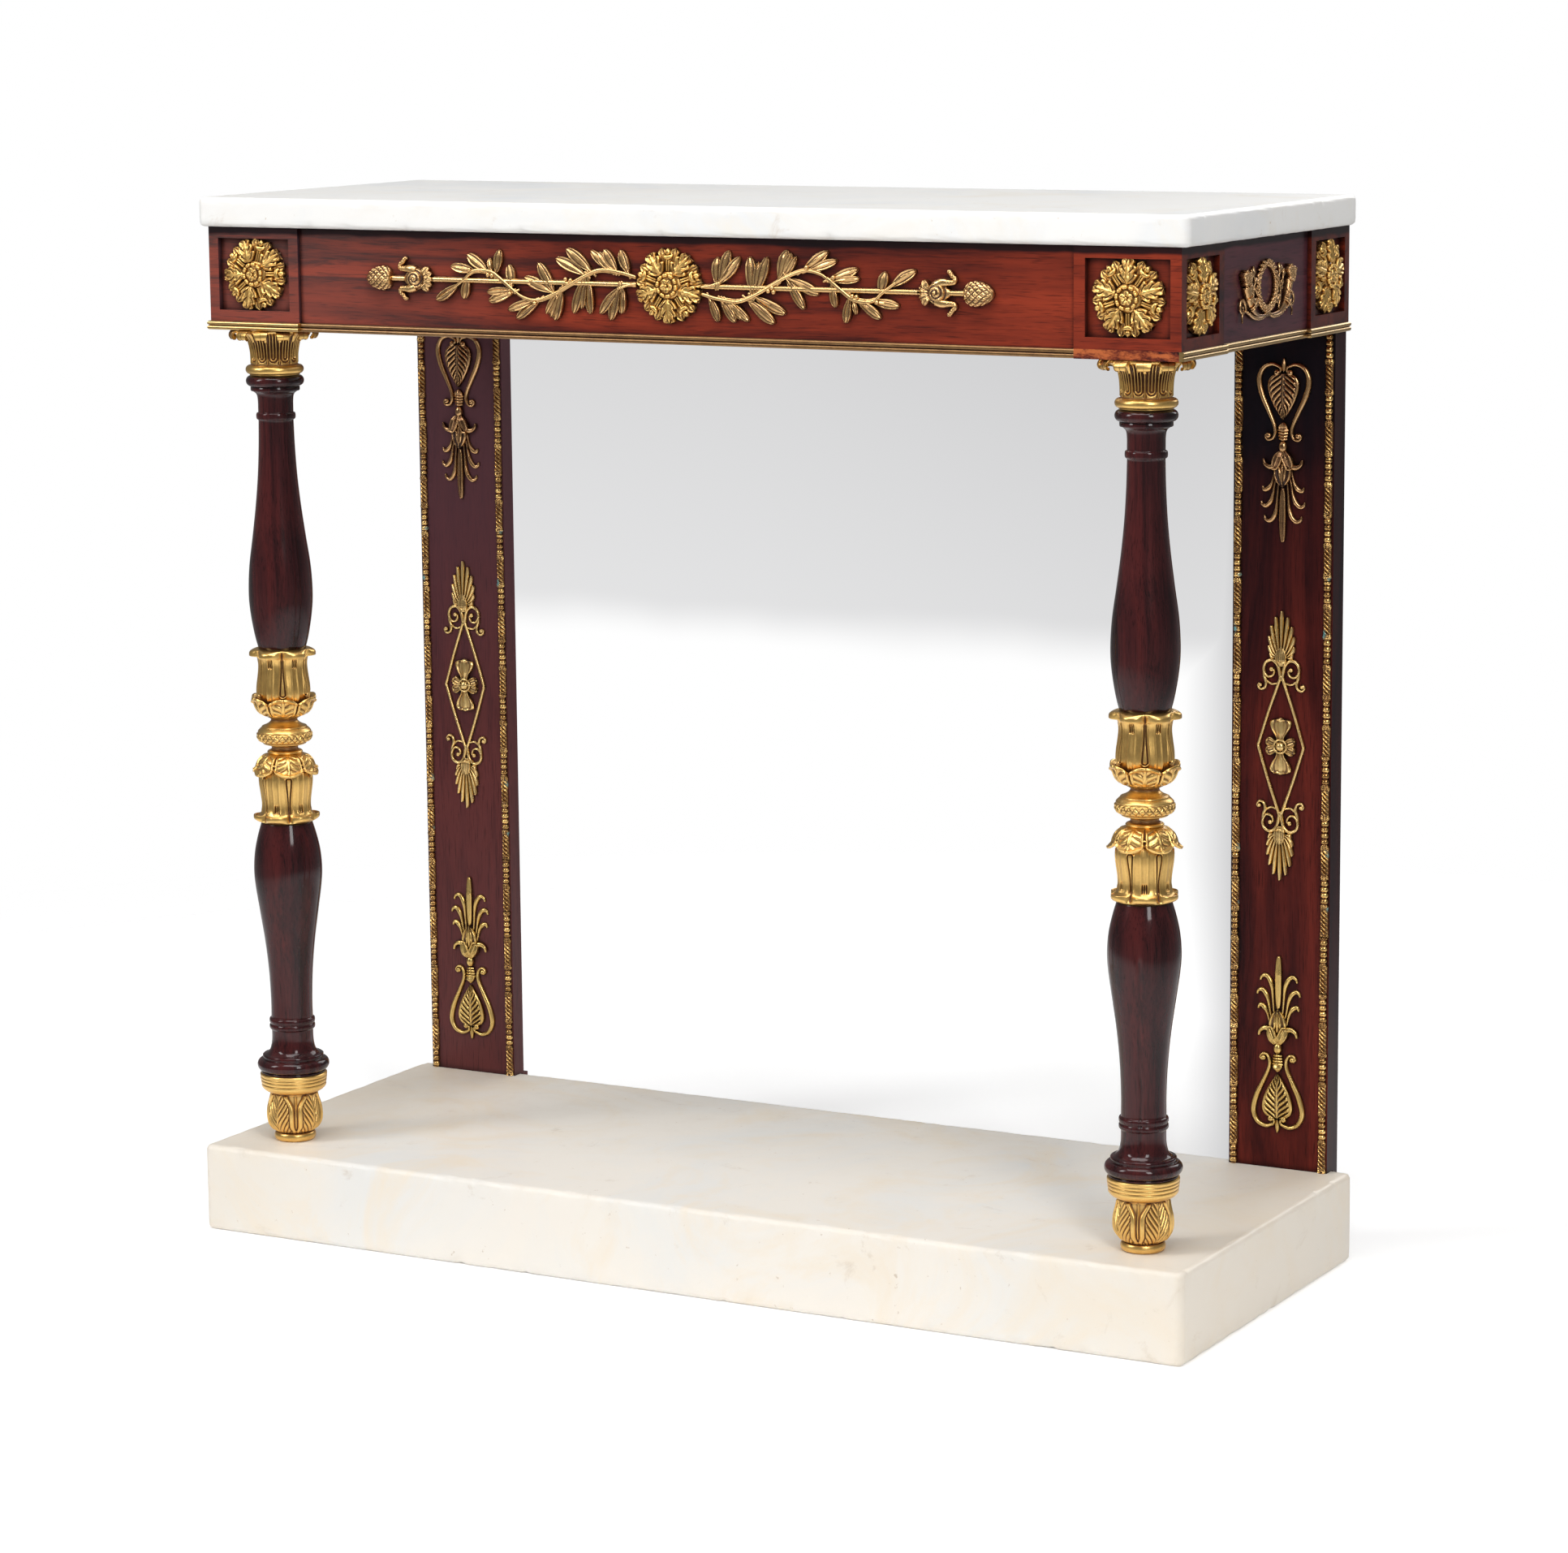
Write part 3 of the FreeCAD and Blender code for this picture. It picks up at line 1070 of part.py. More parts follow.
# ---------------------------------------------------------------- assembly
def frieze_nodes():
    return {
        "front_rail": front_rail(),
        "back_rail": back_rail(),
        "right_rail": right_rail(),
        "left_rail": mirrored_x(right_rail()),
        "cross_bearer": cross_bearer(),
        "front_right_block": front_right_block(),
        "front_left_block": mirrored_x(front_block()),
        "rear_right_block": rear_block(),
        "rear_left_block": mirrored_x(rear_block()),
        "front_right_facing": front_facing(),
        "front_left_facing": mirrored_x(front_facing()),
        "rear_right_facing": rear_facing(),
        "rear_left_facing": mirrored_x(rear_facing()),
        "front_moulding": front_moulding(),
        "left_corner_moulding": mirrored_x(corner_moulding()),
        "left_moulding": left_moulding(),
        "right_moulding": right_moulding(),
    }


def frieze_mount_nodes():
    x_block = (X_BLOCK_OUT + X_BLOCK_IN) / 2
    x_panel = X_BLOCK_OUT - FACING_THICKNESS
    y_panel = Y_BLOCK_FRONT + FACING_THICKNESS
    y_side_front = (Y_BLOCK_FRONT + Y_FRONT_BLOCK_BACK) / 2
    y_side_rear = (Y_REAR_BLOCK_FRONT + Y_WOOD_BACK) / 2
    y_wreath = (Y_FRONT_BLOCK_BACK + Y_REAR_BLOCK_FRONT) / 2
    z = Z_FRIEZE_MIDDLE
    side_front = place_on_side(rosette(), y_side_front, z, x_panel)
    side_rear = place_on_side(rosette(), y_side_rear, z, x_panel)
    wreath = place_on_side(side_wreath(), y_wreath, z, X_SIDE_FACE)
    right_garland = moved(garland(), 0, Y_RAIL_FRONT, z)
    left_garland = moved(turned_about(garland(), PANEL_NORMAL, 180), 0, Y_RAIL_FRONT, z)
    finial = moved(pine_finial(), X_FINIAL, Y_RAIL_FRONT, z)
    return {
        "front_right_rosette": moved(rosette(), x_block, y_panel, z),
        "front_left_rosette": moved(rosette(), -x_block, y_panel, z),
        "front_centre_rosette": moved(rosette(), 0, Y_RAIL_FRONT, z),
        "right_front_side_rosette": side_front,
        "right_rear_side_rosette": side_rear,
        "left_front_side_rosette": mirrored_x(side_front),
        "left_rear_side_rosette": mirrored_x(side_rear),
        "right_garland": right_garland,
        "left_garland": left_garland,
        "right_pine_finial": finial,
        "left_pine_finial": mirrored_x(finial),
        "right_side_wreath": wreath,
        "left_side_wreath": mirrored_x(wreath),
    }


def sided_nodes(pieces):
    """Right-hand pieces and their left-hand twins, each under its own name."""
    nodes = {}
    for name, shape in pieces.items():
        nodes["right_" + name] = shape
        nodes["left_" + name] = mirrored_x(shape)
    return nodes


def column_nodes():
    standing = {name: moved(shape, X_COLUMN, Y_COLUMN) for name, shape in column_pieces().items()}
    return sided_nodes(standing)


def upright_nodes():
    pieces = {"upright_board": board(), "bead_strips": bead_strips()}
    pieces.update(upright_mounts())
    return sided_nodes(pieces)


def main():
    nodes = {"marble_top": marble_top(), "marble_plinth": marble_plinth()}
    nodes.update(frieze_nodes())
    nodes.update(frieze_mount_nodes())
    nodes.update(column_nodes())
    nodes.update(upright_nodes())
    os.makedirs("parts", exist_ok=True)
    for name, shape in nodes.items():
        whole = shape.Solids[0] if len(shape.Solids) == 1 else shape
        whole.exportStep("parts/" + name + ".step")


main()
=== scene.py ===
from math import cos, dist, pi, radians, sin, sqrt

import bmesh
import bpy
import numpy as np
from mathutils import Matrix, Vector


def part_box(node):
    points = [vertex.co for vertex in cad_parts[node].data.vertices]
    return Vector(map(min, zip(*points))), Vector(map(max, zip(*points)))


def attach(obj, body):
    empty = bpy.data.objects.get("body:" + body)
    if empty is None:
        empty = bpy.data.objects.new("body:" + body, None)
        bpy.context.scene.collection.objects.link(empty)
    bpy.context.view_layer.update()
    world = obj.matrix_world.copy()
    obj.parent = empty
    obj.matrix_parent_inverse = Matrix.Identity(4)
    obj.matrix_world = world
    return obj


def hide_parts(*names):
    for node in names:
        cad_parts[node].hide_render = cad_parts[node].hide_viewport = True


# Looks of the pier table. Pieces are modelled in millimetres and placed in the frame's metres.
# A mount is modelled flat: x to its right, y up, z outwards from the surface it lies on.

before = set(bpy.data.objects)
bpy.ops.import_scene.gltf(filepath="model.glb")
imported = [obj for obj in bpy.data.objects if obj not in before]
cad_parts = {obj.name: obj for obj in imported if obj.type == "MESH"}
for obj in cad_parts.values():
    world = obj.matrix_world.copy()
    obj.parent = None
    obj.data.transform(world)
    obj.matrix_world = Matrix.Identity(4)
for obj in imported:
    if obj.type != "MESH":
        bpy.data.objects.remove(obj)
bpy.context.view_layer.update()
MM = 0.001
TAU = 2 * pi
chance = np.random.default_rng(1815)


# ---------------- shaping tools
class Cast:
    """The surfaces of one piece, gathered in millimetres, with how deep each point lies in a hollow, from
    which the gilding paints shade; some pieces add painted shade and highlight to it.
    """

    def __init__(self):
        self.points = []
        self.shade_depths = []
        self.quads = []
        self.caps = []
        self.total = 0

    def sheet(self, grid):
        """Quads over rings of points: each row closes on itself, and the end rows are capped."""
        rows, columns = grid.shape[:2]
        index = np.arange(rows * columns).reshape(rows, columns) + self.total
        here = index[:-1]
        ahead = index[1:]
        corners = (here, np.roll(here, -1, 1), np.roll(ahead, -1, 1), ahead)
        self.quads.append(np.stack(corners, -1).reshape(-1, 4))
        self.points.append(grid.reshape(-1, 3))
        self.shade_depths.append(hollow_of(grid))
        self.caps += [index[0][::-1], index[-1]]
        self.total += rows * columns

    def mesh(self, name):
        points = np.concatenate(self.points) * MM
        quads = np.concatenate(self.quads)
        sizes = np.concatenate([np.full(len(quads), 4), [len(cap) for cap in self.caps]]).astype(np.int32)
        corners = np.concatenate([quads.ravel(), *self.caps]).astype(np.int32)
        mesh = bpy.data.meshes.new(name)
        mesh.vertices.add(len(points))
        mesh.vertices.foreach_set("co", points.ravel())
        mesh.loops.add(len(corners))
        mesh.loops.foreach_set("vertex_index", corners)
        mesh.polygons.add(len(sizes))
        mesh.polygons.foreach_set("loop_start", np.concatenate([[0], np.cumsum(sizes)[:-1]]).astype(np.int32))
        mesh.update(calc_edges=True)
        shell = bmesh.new()
        shell.from_mesh(mesh)
        bmesh.ops.recalc_face_normals(shell, faces=shell.faces)
        shell.to_mesh(mesh)
        shell.free()
        mesh.polygons.foreach_set("use_smooth", np.ones(len(sizes), dtype=bool))
        hollow = mesh.attributes.new("hollow", "FLOAT", "POINT")
        hollow.data.foreach_set("value", np.concatenate(self.shade_depths))
        return mesh


# How far round a point the surface is averaged, in millimetres.
HOLLOW_REACH = 0.9


def hollow_of(grid):
    """How far each point lies under the average of its surroundings, in millimetres; crests are below 0."""
    rows = len(grid)
    down = np.gradient(grid, axis=0)
    across = (np.roll(grid, -1, 1) - np.roll(grid, 1, 1)) / 2
    normal = np.cross(across, down)
    normal /= np.linalg.norm(normal, axis=2)[..., None] + 1e-12
    if np.sum(normal * (grid - grid.mean((0, 1)))) < 0:
        normal = -normal
    depth = np.zeros(grid.shape[:2])
    for part in (0.5, 1.0, 1.7):
        far_down, far_across = (
            int(np.clip(round(part * HOLLOW_REACH / (np.median(np.linalg.norm(step, axis=2)) + 1e-6)), 1, 9))
            for step in (down, across))
        level = np.arange(rows)
        above, below = np.clip(level - far_down, 0, rows - 1), np.clip(level + far_down, 0, rows - 1)
        beside = np.roll(grid, far_across, 1) + np.roll(grid, -far_across, 1)
        depth += np.sum(((grid[above] + grid[below] + beside) / 4 - grid) * normal, axis=2) / 3
    return depth.ravel()


def blend(low, high, value):
    """A smooth step from 0 at low to 1 at high, either of which can be the larger."""
    part = np.clip((np.asarray(value, float) - low) / (high - low), 0, 1)
    return part * part * (3 - 2 * part)


def ridge(offset, width):
    """A round ridge one unit high at offset 0."""
    return np.exp(-((offset / width) ** 2))


def along(values, stations):
    """The listed values spread evenly over 0 to 1 and read at the stations."""
    return np.interp(stations, np.linspace(0, 1, len(values)), values)


def smooth(points, count):
    """A smooth curve through the points, as evenly spaced points."""
    knots = np.array(points, float)
    knots = np.vstack([2 * knots[0] - knots[1], knots, 2 * knots[-1] - knots[-2]])
    step = np.linspace(0, 1, 12, endpoint=False)[:, None]
    pieces = []
    for a, b, c, d in zip(knots, knots[1:], knots[2:], knots[3:]):
        second, third = 2 * a - 5 * b + 4 * c - d, 3 * b - a - 3 * c + d
        pieces.append(0.5 * (2 * b + (c - a) * step + second * step**2 + third * step**3))
    pieces.append(knots[-2:-1])
    return even(np.vstack(pieces), count)


def even(points, count):
    """A polyline read at evenly spaced places."""
    points = np.asarray(points, float)
    gaps = np.linalg.norm(np.diff(points, axis=0), axis=1)
    travel = np.concatenate([[0], np.cumsum(gaps)])
    places = np.linspace(0, travel[-1], count)
    return np.stack([np.interp(places, travel, points[:, k]) for k in range(points.shape[1])], 1)


def sweep(cast, path, section, widths, count, heights=None):
    """A rod or band along a path. Its section is an outline one unit to each side, or a count of sides."""
    if isinstance(section, int):
        section = np.stack([np.cos(turns(section)[0]), np.sin(turns(section)[0])], 1)
    line = smooth([(p[0], p[1], p[2] if len(p) > 2 else 0) for p in path], count)
    ahead = np.gradient(line, axis=0)
    ahead /= np.linalg.norm(ahead, axis=1)[:, None] + 1e-9
    side = np.cross(ahead, (0, 0, 1))
    side /= np.linalg.norm(side, axis=1)[:, None] + 1e-9
    up = np.cross(side, ahead)
    places = np.linspace(0, 1, count)
    wide = along(widths, places)[:, None, None]
    high = along(heights or widths, places)[:, None, None]
    cast.sheet(line[:, None] + side[:, None] * section[:, 0:1] * wide + up[:, None] * section[:, 1:2] * high)


def turns(sides):
    """A row of angles once round."""
    return np.arange(sides)[None, :] * TAU / sides


def sector(angle, half):
    """The angle from the middle of its sector, whose half is given."""
    return (angle + half) % (2 * half) - half


def waves(place, power):
    """Round ridges at whole numbers, with a groove between each two."""
    return np.abs(np.cos(pi * place)) ** power


def lattice(turn, rise, power):
    """Diamonds between two crossing sets of grooves."""
    return np.minimum(np.abs(np.sin(turn + rise)), np.abs(np.sin(turn - rise))) ** power


def dome(place):
    """A half circle over -1 to 1."""
    return np.sqrt(np.clip(1 - place**2, 0, 1))


def ball(cast, centre, radii, sides, rows):
    """A round or squashed ball."""
    tilt = np.linspace(0.02, pi - 0.02, rows)[:, None]
    turn = turns(sides)
    shape = np.stack([np.sin(tilt) * np.cos(turn), np.sin(tilt) * np.sin(turn),
            np.cos(tilt) * np.ones_like(turn)], -1)
    cast.sheet(np.array(centre, float) + shape * np.broadcast_to(radii, 3))


def flat_warp(base, tip):
    """Places a leaf's (along, across, height) on the ground from its base towards its tip."""
    base = np.array(base, float)
    ahead = np.array(tip, float) - base
    ahead /= np.linalg.norm(ahead)

    def warp(far, across, height):
        x = base[0] + ahead[0] * far - ahead[1] * across
        y = base[1] + ahead[1] * far + ahead[0] * across
        return np.stack([x, y, height], -1)

    return warp


def plate(cast, warp, far, across, top, under=0.0):
    """A closed relief between its top and its underside."""
    far, across, top, under = np.broadcast_arrays(far, across, top, under)
    cast.sheet(np.concatenate([warp(far, across, top), warp(far, across, under)[:, ::-1]], 1))


def leaf(cast, length, half_width, lift, warp, shape=(0.6, 0.6), camber=0.8, fold=0.0, rib=0.3, rim=0.0,
        veins=0, vein=0.25, barbs=0, barb=0.3, slant=0.4, bend=0.0, size=(30, 17)):
    """A leaf with its rim, midrib, veins and slanting barbs in relief."""
    s = np.linspace(0.006, 0.994, size[0])[:, None]
    t = np.linspace(-1, 1, size[1])[None, :]
    peak = shape[0] / (shape[0] + shape[1])
    envelope = (s / peak) ** shape[0] * ((1 - s) / (1 - peak)) ** shape[1]
    height = along(lift, s) + camber * (1 - t**2) + fold * (1 - np.abs(t)) + rib * ridge(t, 0.1)
    height = height + rim * ridge(np.abs(t) - 0.86, 0.12)
    if veins:
        height = height - vein * waves(veins * t, 6) * blend(0, 0.15, s)
    if barbs:
        inside = blend(0.06, 0.2, np.abs(t)) * blend(0.86, 0.72, np.abs(t))
        height = height + barb * (2 * waves(barbs * (s - slant * np.abs(t)), 0.6) - 1) * inside
    across = t * half_width * envelope + bend * np.sin(pi * s)
    plate(cast, warp, s * length, across, height, np.minimum(height - 0.15, 0))


def revolve(cast, profile, sides, relief=None):
    """A turned surface from its foot to its top; relief(z, angle) stands out from it."""
    profile = np.asarray(profile, float)
    angle = turns(sides)
    radius = profile[:, 0:1] + np.zeros_like(angle)
    z = profile[:, 1:2] + np.zeros_like(angle)
    if relief is not None:
        radius = radius + relief(z, angle + np.zeros_like(z))
    cast.sheet(around(radius, angle, z))


def around(radius, angle, z):
    """Points round a column's axis; angle 0 faces the front."""
    radius, angle, z = np.broadcast_arrays(radius, angle, z)
    return np.stack([radius * np.sin(angle), -radius * np.cos(angle), z], -1)


# ---------------- turned columns
def bead(radius, low, high, rise, count):
    """A half-round moulding of a turned outline."""
    turn = np.linspace(-pi / 2, pi / 2, count)
    return np.stack([radius + rise * np.cos(turn), (low + high) / 2 + (high - low) / 2 * np.sin(turn)], 1)


def lower_shaft():
    cast = Cast()
    outline = np.vstack([
        [(5, 137), (28.2, 137), (28.2, 138.6)],
        bead(26.5, 138.8, 149.6, 5.0, 20),
        [(26.2, 149.9), (26.4, 150.6), (26.6, 152.8), (25.8, 153.4), (23.6, 153.6)],
        smooth([(23.2, 153.8), (20.2, 157), (18.6, 163), (18.1, 169), (18.2, 175.6)], 22),
        [(19.2, 175.9)], bead(19.3, 176.1, 180.3, 0.7, 8), bead(19.3, 181.3, 185.6, 0.7, 8), [(18.3, 186)],
        smooth([(18.2, 186.4), (18.2, 204), (19.2, 228), (21.8, 255), (25.6, 282), (28.7, 304),
                (29.6, 318.7), (28.5, 334), (25.6, 348), (21.8, 361)], 110),
        [(5, 361)],
    ])
    revolve(cast, outline, 112)
    return cast


def upper_shaft():
    cast = Cast()
    outline = np.vstack([
        [(5, 510)],
        smooth([(19.6, 510), (23.4, 525), (26.6, 545), (27.6, 562), (26.4, 585), (22.7, 612), (19.4, 638),
                (17, 663), (15.6, 688), (15, 711)], 110),
        [(16.0, 711.6)], bead(16.2, 711.8, 717.2, 0.7, 10), [(15.1, 717.6)],
        smooth([(15.1, 718), (15.2, 728), (16.2, 733.2), (19.4, 736)], 18),
        [(20.6, 736.2), (21.1, 736.8), (21.1, 739.4), (20.4, 740)],
        bead(20.6, 740.2, 749.4, 4.3, 18),
        [(20.4, 749.7), (20.4, 750), (5, 750)],
    ])
    revolve(cast, outline, 112)
    return cast


def crack_in(cast, angle, low, high, width, depth):
    """Opens a drying crack along a turned shaft."""
    for points in cast.points:
        turn = np.arctan2(points[:, 0], -points[:, 1])
        place = angle + 0.03 * np.sin(points[:, 2] / 14) + 0.02 * np.sin(points[:, 2] / 5.3)
        gap = np.angle(np.exp(1j * (turn - place)))
        radius = np.hypot(points[:, 0], points[:, 1])
        inside = blend(low, low + 20, points[:, 2]) * blend(high, high - 30, points[:, 2]) * (radius > 14)
        factor = 1 - depth * inside * ridge(gap * radius, width) / np.maximum(radius, 1)
        points[:, 0] *= factor
        points[:, 1] *= factor


FOOT_FOLD = radians(45)


def foot_relief(z, angle):
    """Four leaves with plump slanting veins and rolled borders, and a narrow tongue between each two."""
    degrees = np.degrees(np.abs(sector(angle, FOOT_FOLD)))
    rise = (z - 84) / 35
    flare = 15 * blend(0.56, 1.0, rise) ** 1.6
    closing = np.sqrt(np.clip((z - 87.2) / 4, 0, 1))
    panel = (4.4 + flare) * closing
    roll_middle = panel + 5.2
    roll = 1.9 * dome((degrees - roll_middle) / 5.4)
    sunk = -0.7 * blend(panel + 0.8, panel - 1.2, degrees) * blend(88, 90, z)
    tongue = 1.2 * ridge(degrees, 2.0) * blend(88.6, 90, z)
    beyond = degrees - roll_middle - 5.6
    vein = waves(((z - 83) - 0.62 * (45 - degrees)) / 6.4, 0.6)
    leafy = blend(0, 1.6, beyond) * blend(43.0, 41.6, degrees)
    midrib = 0.9 * ridge(degrees - 45, 1.6)
    edge = -0.8 * ridge(beyond - 0.2, 1.2)
    body = roll + sunk + tongue + edge + leafy * (1.9 * vein - 0.9) + midrib
    return body * blend(83.0, 86, z) * blend(119.2, 117.4, z)


def foot():
    cast = Cast()
    outline = np.vstack([
        [(15.8, 76)], bead(15.8, 76.2, 83.6, 2.4, 16), [(16.0, 83.8)],
        smooth([(16.2, 84), (19.2, 87), (22.0, 92), (22.9, 98), (22.4, 105), (20.8, 112),
            (20.3, 119.2)], 120),
        smooth([(21.2, 119.6), (23.6, 120.4), (26.0, 121.8), (27.6, 123.6)], 12),
        bead(28.0, 124.2, 127.4, 0.4, 8), bead(28.4, 127.7, 130.7, 0.4, 8), bead(28.8, 131.0, 133.5, 0.4, 8),
        [(29.3, 133.8), (29.3, 135.8), (28.7, 136.6)],
    ])
    outline = np.vstack([[(5, 76)], even(outline, 330), [(5, 136.9)]])
    revolve(cast, outline, 320, foot_relief)
    return cast


CUP_FOLD = radians(30)


def between(first, second, part):
    """Radius and height between two outlines."""
    return (first[:, k:k + 1] * (1 - part) + second[:, k:k + 1] * part for k in (0, 1))


def cup(eyelets):
    """A tulip of six petals with thin curled lips, standing in a calyx of six round leaves."""
    cast = Cast()
    angle = turns(456)
    far = np.abs(sector(angle, CUP_FOLD)) / CUP_FOLD
    centre = smooth([(14, 8), (20.6, 13.6), (22.6, 20), (22.6, 27), (21.4, 36), (20.6, 44), (21.2, 50),
            (23.6, 54.4), (26.6, 55.4), (28.4, 53.6), (28.8, 54.6), (28.4, 57.2), (25.6, 59.2), (21.5, 60),
            (17, 59)], 140)
    seam = smooth([(14, 8), (20.6, 13.6), (22.8, 20), (22.6, 27), (21.2, 36), (20.2, 44), (20.4, 50),
            (21.2, 55), (22.2, 57.4), (23.4, 58.6), (24.0, 59.0), (23.6, 59.7), (22.4, 60), (20.4, 60),
            (17, 59)], 140)
    r, z = between(seam, centre, np.clip(1 - far**2.4, 0, 1))
    wall = blend(53, 49, z)
    apart = np.hypot(11.5 * (1 - far), np.clip(22 - z, 0, None))
    tongue = 0.7 + 1.6 * blend(46, 16, z)
    slits = np.maximum(ridge(far, 0.05), ridge(far - 0.15, 0.045)) * blend(43, 46.5, z)
    r = r + wall * (0.6 * blend(tongue - 0.2, tongue - 0.7, apart) - 1.5 * ridge(apart - tongue, 0.42)
                    + 0.9 * ridge(apart - tongue - 1.0, 0.55) + 0.7 * ridge(far - 0.24, 0.08) - 2.6 * slits)
    cast.sheet(around(r, angle, z))

    edge = np.abs(sector(angle + CUP_FOLD, CUP_FOLD)) / CUP_FOLD
    outer_mid = smooth([(14.4, 0.2), (19, 2.0), (23.0, 5.6), (25.2, 10), (26.4, 14.2), (29.0, 17.6)], 70)
    outer_seam = smooth([(14.4, 0.2), (18.6, 2.0), (21.8, 5), (23.6, 8.2), (24.4, 10.6), (25.2, 12.4)], 70)
    inner_mid = smooth([(29.2, 18.4), (27.8, 18.2), (25.0, 15.6), (23.6, 12), (20, 9)], 16)
    inner_seam = smooth([(25.3, 13.0), (24.6, 13.2), (23.4, 12.4), (22.2, 11), (20, 9)], 16)
    r, z = between(np.vstack([outer_seam, inner_seam]), np.vstack([outer_mid, inner_mid]),
            np.clip(1 - edge**2.2, 0, 1))
    reach = np.concatenate([np.linspace(0, 1, 70), np.ones(16)])[:, None]
    wedge = 0.07 + 0.1 * (1 - reach)
    panel = blend(wedge, wedge + 0.05, edge) * blend(0.78, 0.7, edge)
    panel = panel * blend(0.14, 0.2, reach) * blend(0.88, 0.82, reach)
    relief = panel * (1.3 * waves(reach * 3.6 - 1.5 * edge + 0.2, 0.8) - 0.9)
    relief = relief + 0.7 * blend(wedge, wedge - 0.05, edge) * blend(0.1, 0.2, reach)
    relief = relief + 1.4 * ridge(edge - 0.86, 0.08) * blend(0.1, 0.3, reach)
    relief = relief + 1.3 * ridge(reach - 0.95, 0.05)
    relief = relief - 2.0 * ridge(edge - 1, 0.035) * blend(0.08, 0.16, reach)
    outside = np.concatenate([np.ones(70), np.linspace(0.6, 0, 16)])[:, None]
    cast.sheet(around(r + relief * outside, angle, z))
    if eyelets:
        for k in range(6):
            ring = [(2 * sin(a), 10.5 + 2 * cos(a)) for a in np.linspace(0, TAU, 13)]
            loop = Cast()
            sweep(loop, ring, 8, [0.7], 26)
            x, y, z = loop.points[0].T
            cast.sheet(around(24.6 + z, 2 * k * CUP_FOLD + x / 24.6, y).reshape(26, 8, 3))
    return cast


def knop():
    cast = Cast()
    outline = smooth([(15, 421.4), (15.4, 422.2), (14.4, 423.3), (11.9, 424.4), (11.5, 426.4), (13.2, 428.2),
            (17.6, 428.9), (18.8, 429.6), (18.9, 430.6), (20.8, 431.2), (23.1, 433.7), (23.6, 437),
            (23.1, 440.4), (20.8, 443), (19.7, 443.7), (19.4, 444.7), (16.8, 445.7), (13.6, 447.5),
            (11.7, 449.5), (11.6, 451), (13.2, 452.2), (14.8, 453)], 150)
    outline = np.vstack([[(5, 421)], [(14.8, 421)], outline, [(5, 453)]])

    def relief(z, angle):
        band = blend(431.0, 431.8, z) * blend(439.2, 438.4, z)
        return band * (1.3 * lattice(13 * angle, (z - 435) * 0.5, 0.6) - 0.5) - 0.5 * ridge(z - 439.4, 0.5)

    revolve(cast, outline, 288, relief)
    return cast


CAPITAL_FOLD = radians(15)


def capital():
    """A bell with a U-shaped flute between each two stems, under twelve small curled leaf tips."""
    cast = Cast()
    outline = np.vstack([
        [(5, 750), (21.5, 750), (21.5, 750.6)], bead(21.3, 750.8, 758.4, 3.6, 18), [(20.4, 758.6)],
        smooth([(20.2, 758.8), (20.1, 763), (20.4, 770), (21.2, 776), (22.8, 781), (25.4, 784.6),
            (28.8, 786.6)], 110),
        [(29.4, 787.2), (29.8, 789.4), (5, 789.5)],
    ])

    def relief(z, angle):
        turn = sector(angle, CAPITAL_FOLD)
        across = turn * (20.5 + 4 * blend(772, 786, z))
        ring = np.hypot(across, np.clip(765.4 - z, 0, None))
        depth = 0.8 + 0.5 * blend(764, 776, z)
        flutes = (depth * np.cos(TAU * ring / 2.6) - 0.5) * blend(4.8, 4.3, ring)
        stem = 0.9 * ridge(np.abs(turn) - CAPITAL_FOLD, 0.028)
        stem = stem - 0.8 * ridge(np.abs(turn) - 0.83 * CAPITAL_FOLD, 0.018)
        return (flutes + stem) * blend(759, 760.4, z) * blend(787, 785.4, z)

    revolve(cast, outline, 480, relief)
    # Painted shade on the upper bell under the leaf tips, added to its hollow depth.
    z = cast.points[-1][:, 2]
    cast.shade_depths[-1] += 0.3 * blend(768, 774, z) * blend(785, 783.5, z)
    spine = smooth([(23.4, 779), (25.6, 783.4), (29.4, 786.6), (33.4, 788.2), (36.4, 787.4), (37.6, 784.6),
            (36.4, 782), (34.2, 782.0), (33.4, 783.4)], 120)
    travel = np.concatenate([[0], np.cumsum(np.linalg.norm(np.diff(spine, axis=0), axis=1))])
    ahead = np.gradient(spine, axis=0)
    ahead /= np.linalg.norm(ahead, axis=1)[:, None]
    s = np.linspace(0.0, 1.0, 60)[:, None]
    t = np.linspace(-1, 1, 37)[None, :]
    width = along([1.0, 1.2, 2.0, 3.8, 5.4, 6.1, 5.9, 5.0, 3.2], s)
    lobe = np.abs(np.sin(pi * t)) ** 0.55
    tipward = blend(0.3, 0.55, s)
    far = s * travel[-1] * (1 - 0.05 * (1 - lobe) * tipward) + 0 * t
    height = 0.5 + 0.3 * (1 - t**2) + (2.7 * lobe - 1.5) * tipward
    for k in range(12):
        turn = (2 * k + 1) * CAPITAL_FOLD
        sheets = []
        for lift, column in ((height, slice(None)), (np.full_like(height, -0.4), slice(None, None, -1))):
            place = np.clip(far, 0, travel[-1])
            out_r, out_z = (np.interp(place, travel, values) for values in (ahead[:, 1], -ahead[:, 0]))
            r = np.interp(place, travel, spine[:, 0]) + out_r * lift
            z = np.interp(place, travel, spine[:, 1]) + out_z * lift
            sheets.append(around(r, turn + t * width / np.maximum(r, 20), np.minimum(z, 789.4))[:, column])
        cast.sheet(np.concatenate(sheets, 1))
    return cast


# ---------------- mounts on the frieze
def polar(radius, degrees):
    angle = radians(degrees)
    return (radius * cos(angle), radius * sin(angle))


def flipped(side, points, height=0.0, end=1):
    """Points at one height, mirrored left to right and top to bottom by a side and an end of -1."""
    return [(x * side, y * end, height) for x, y in points]


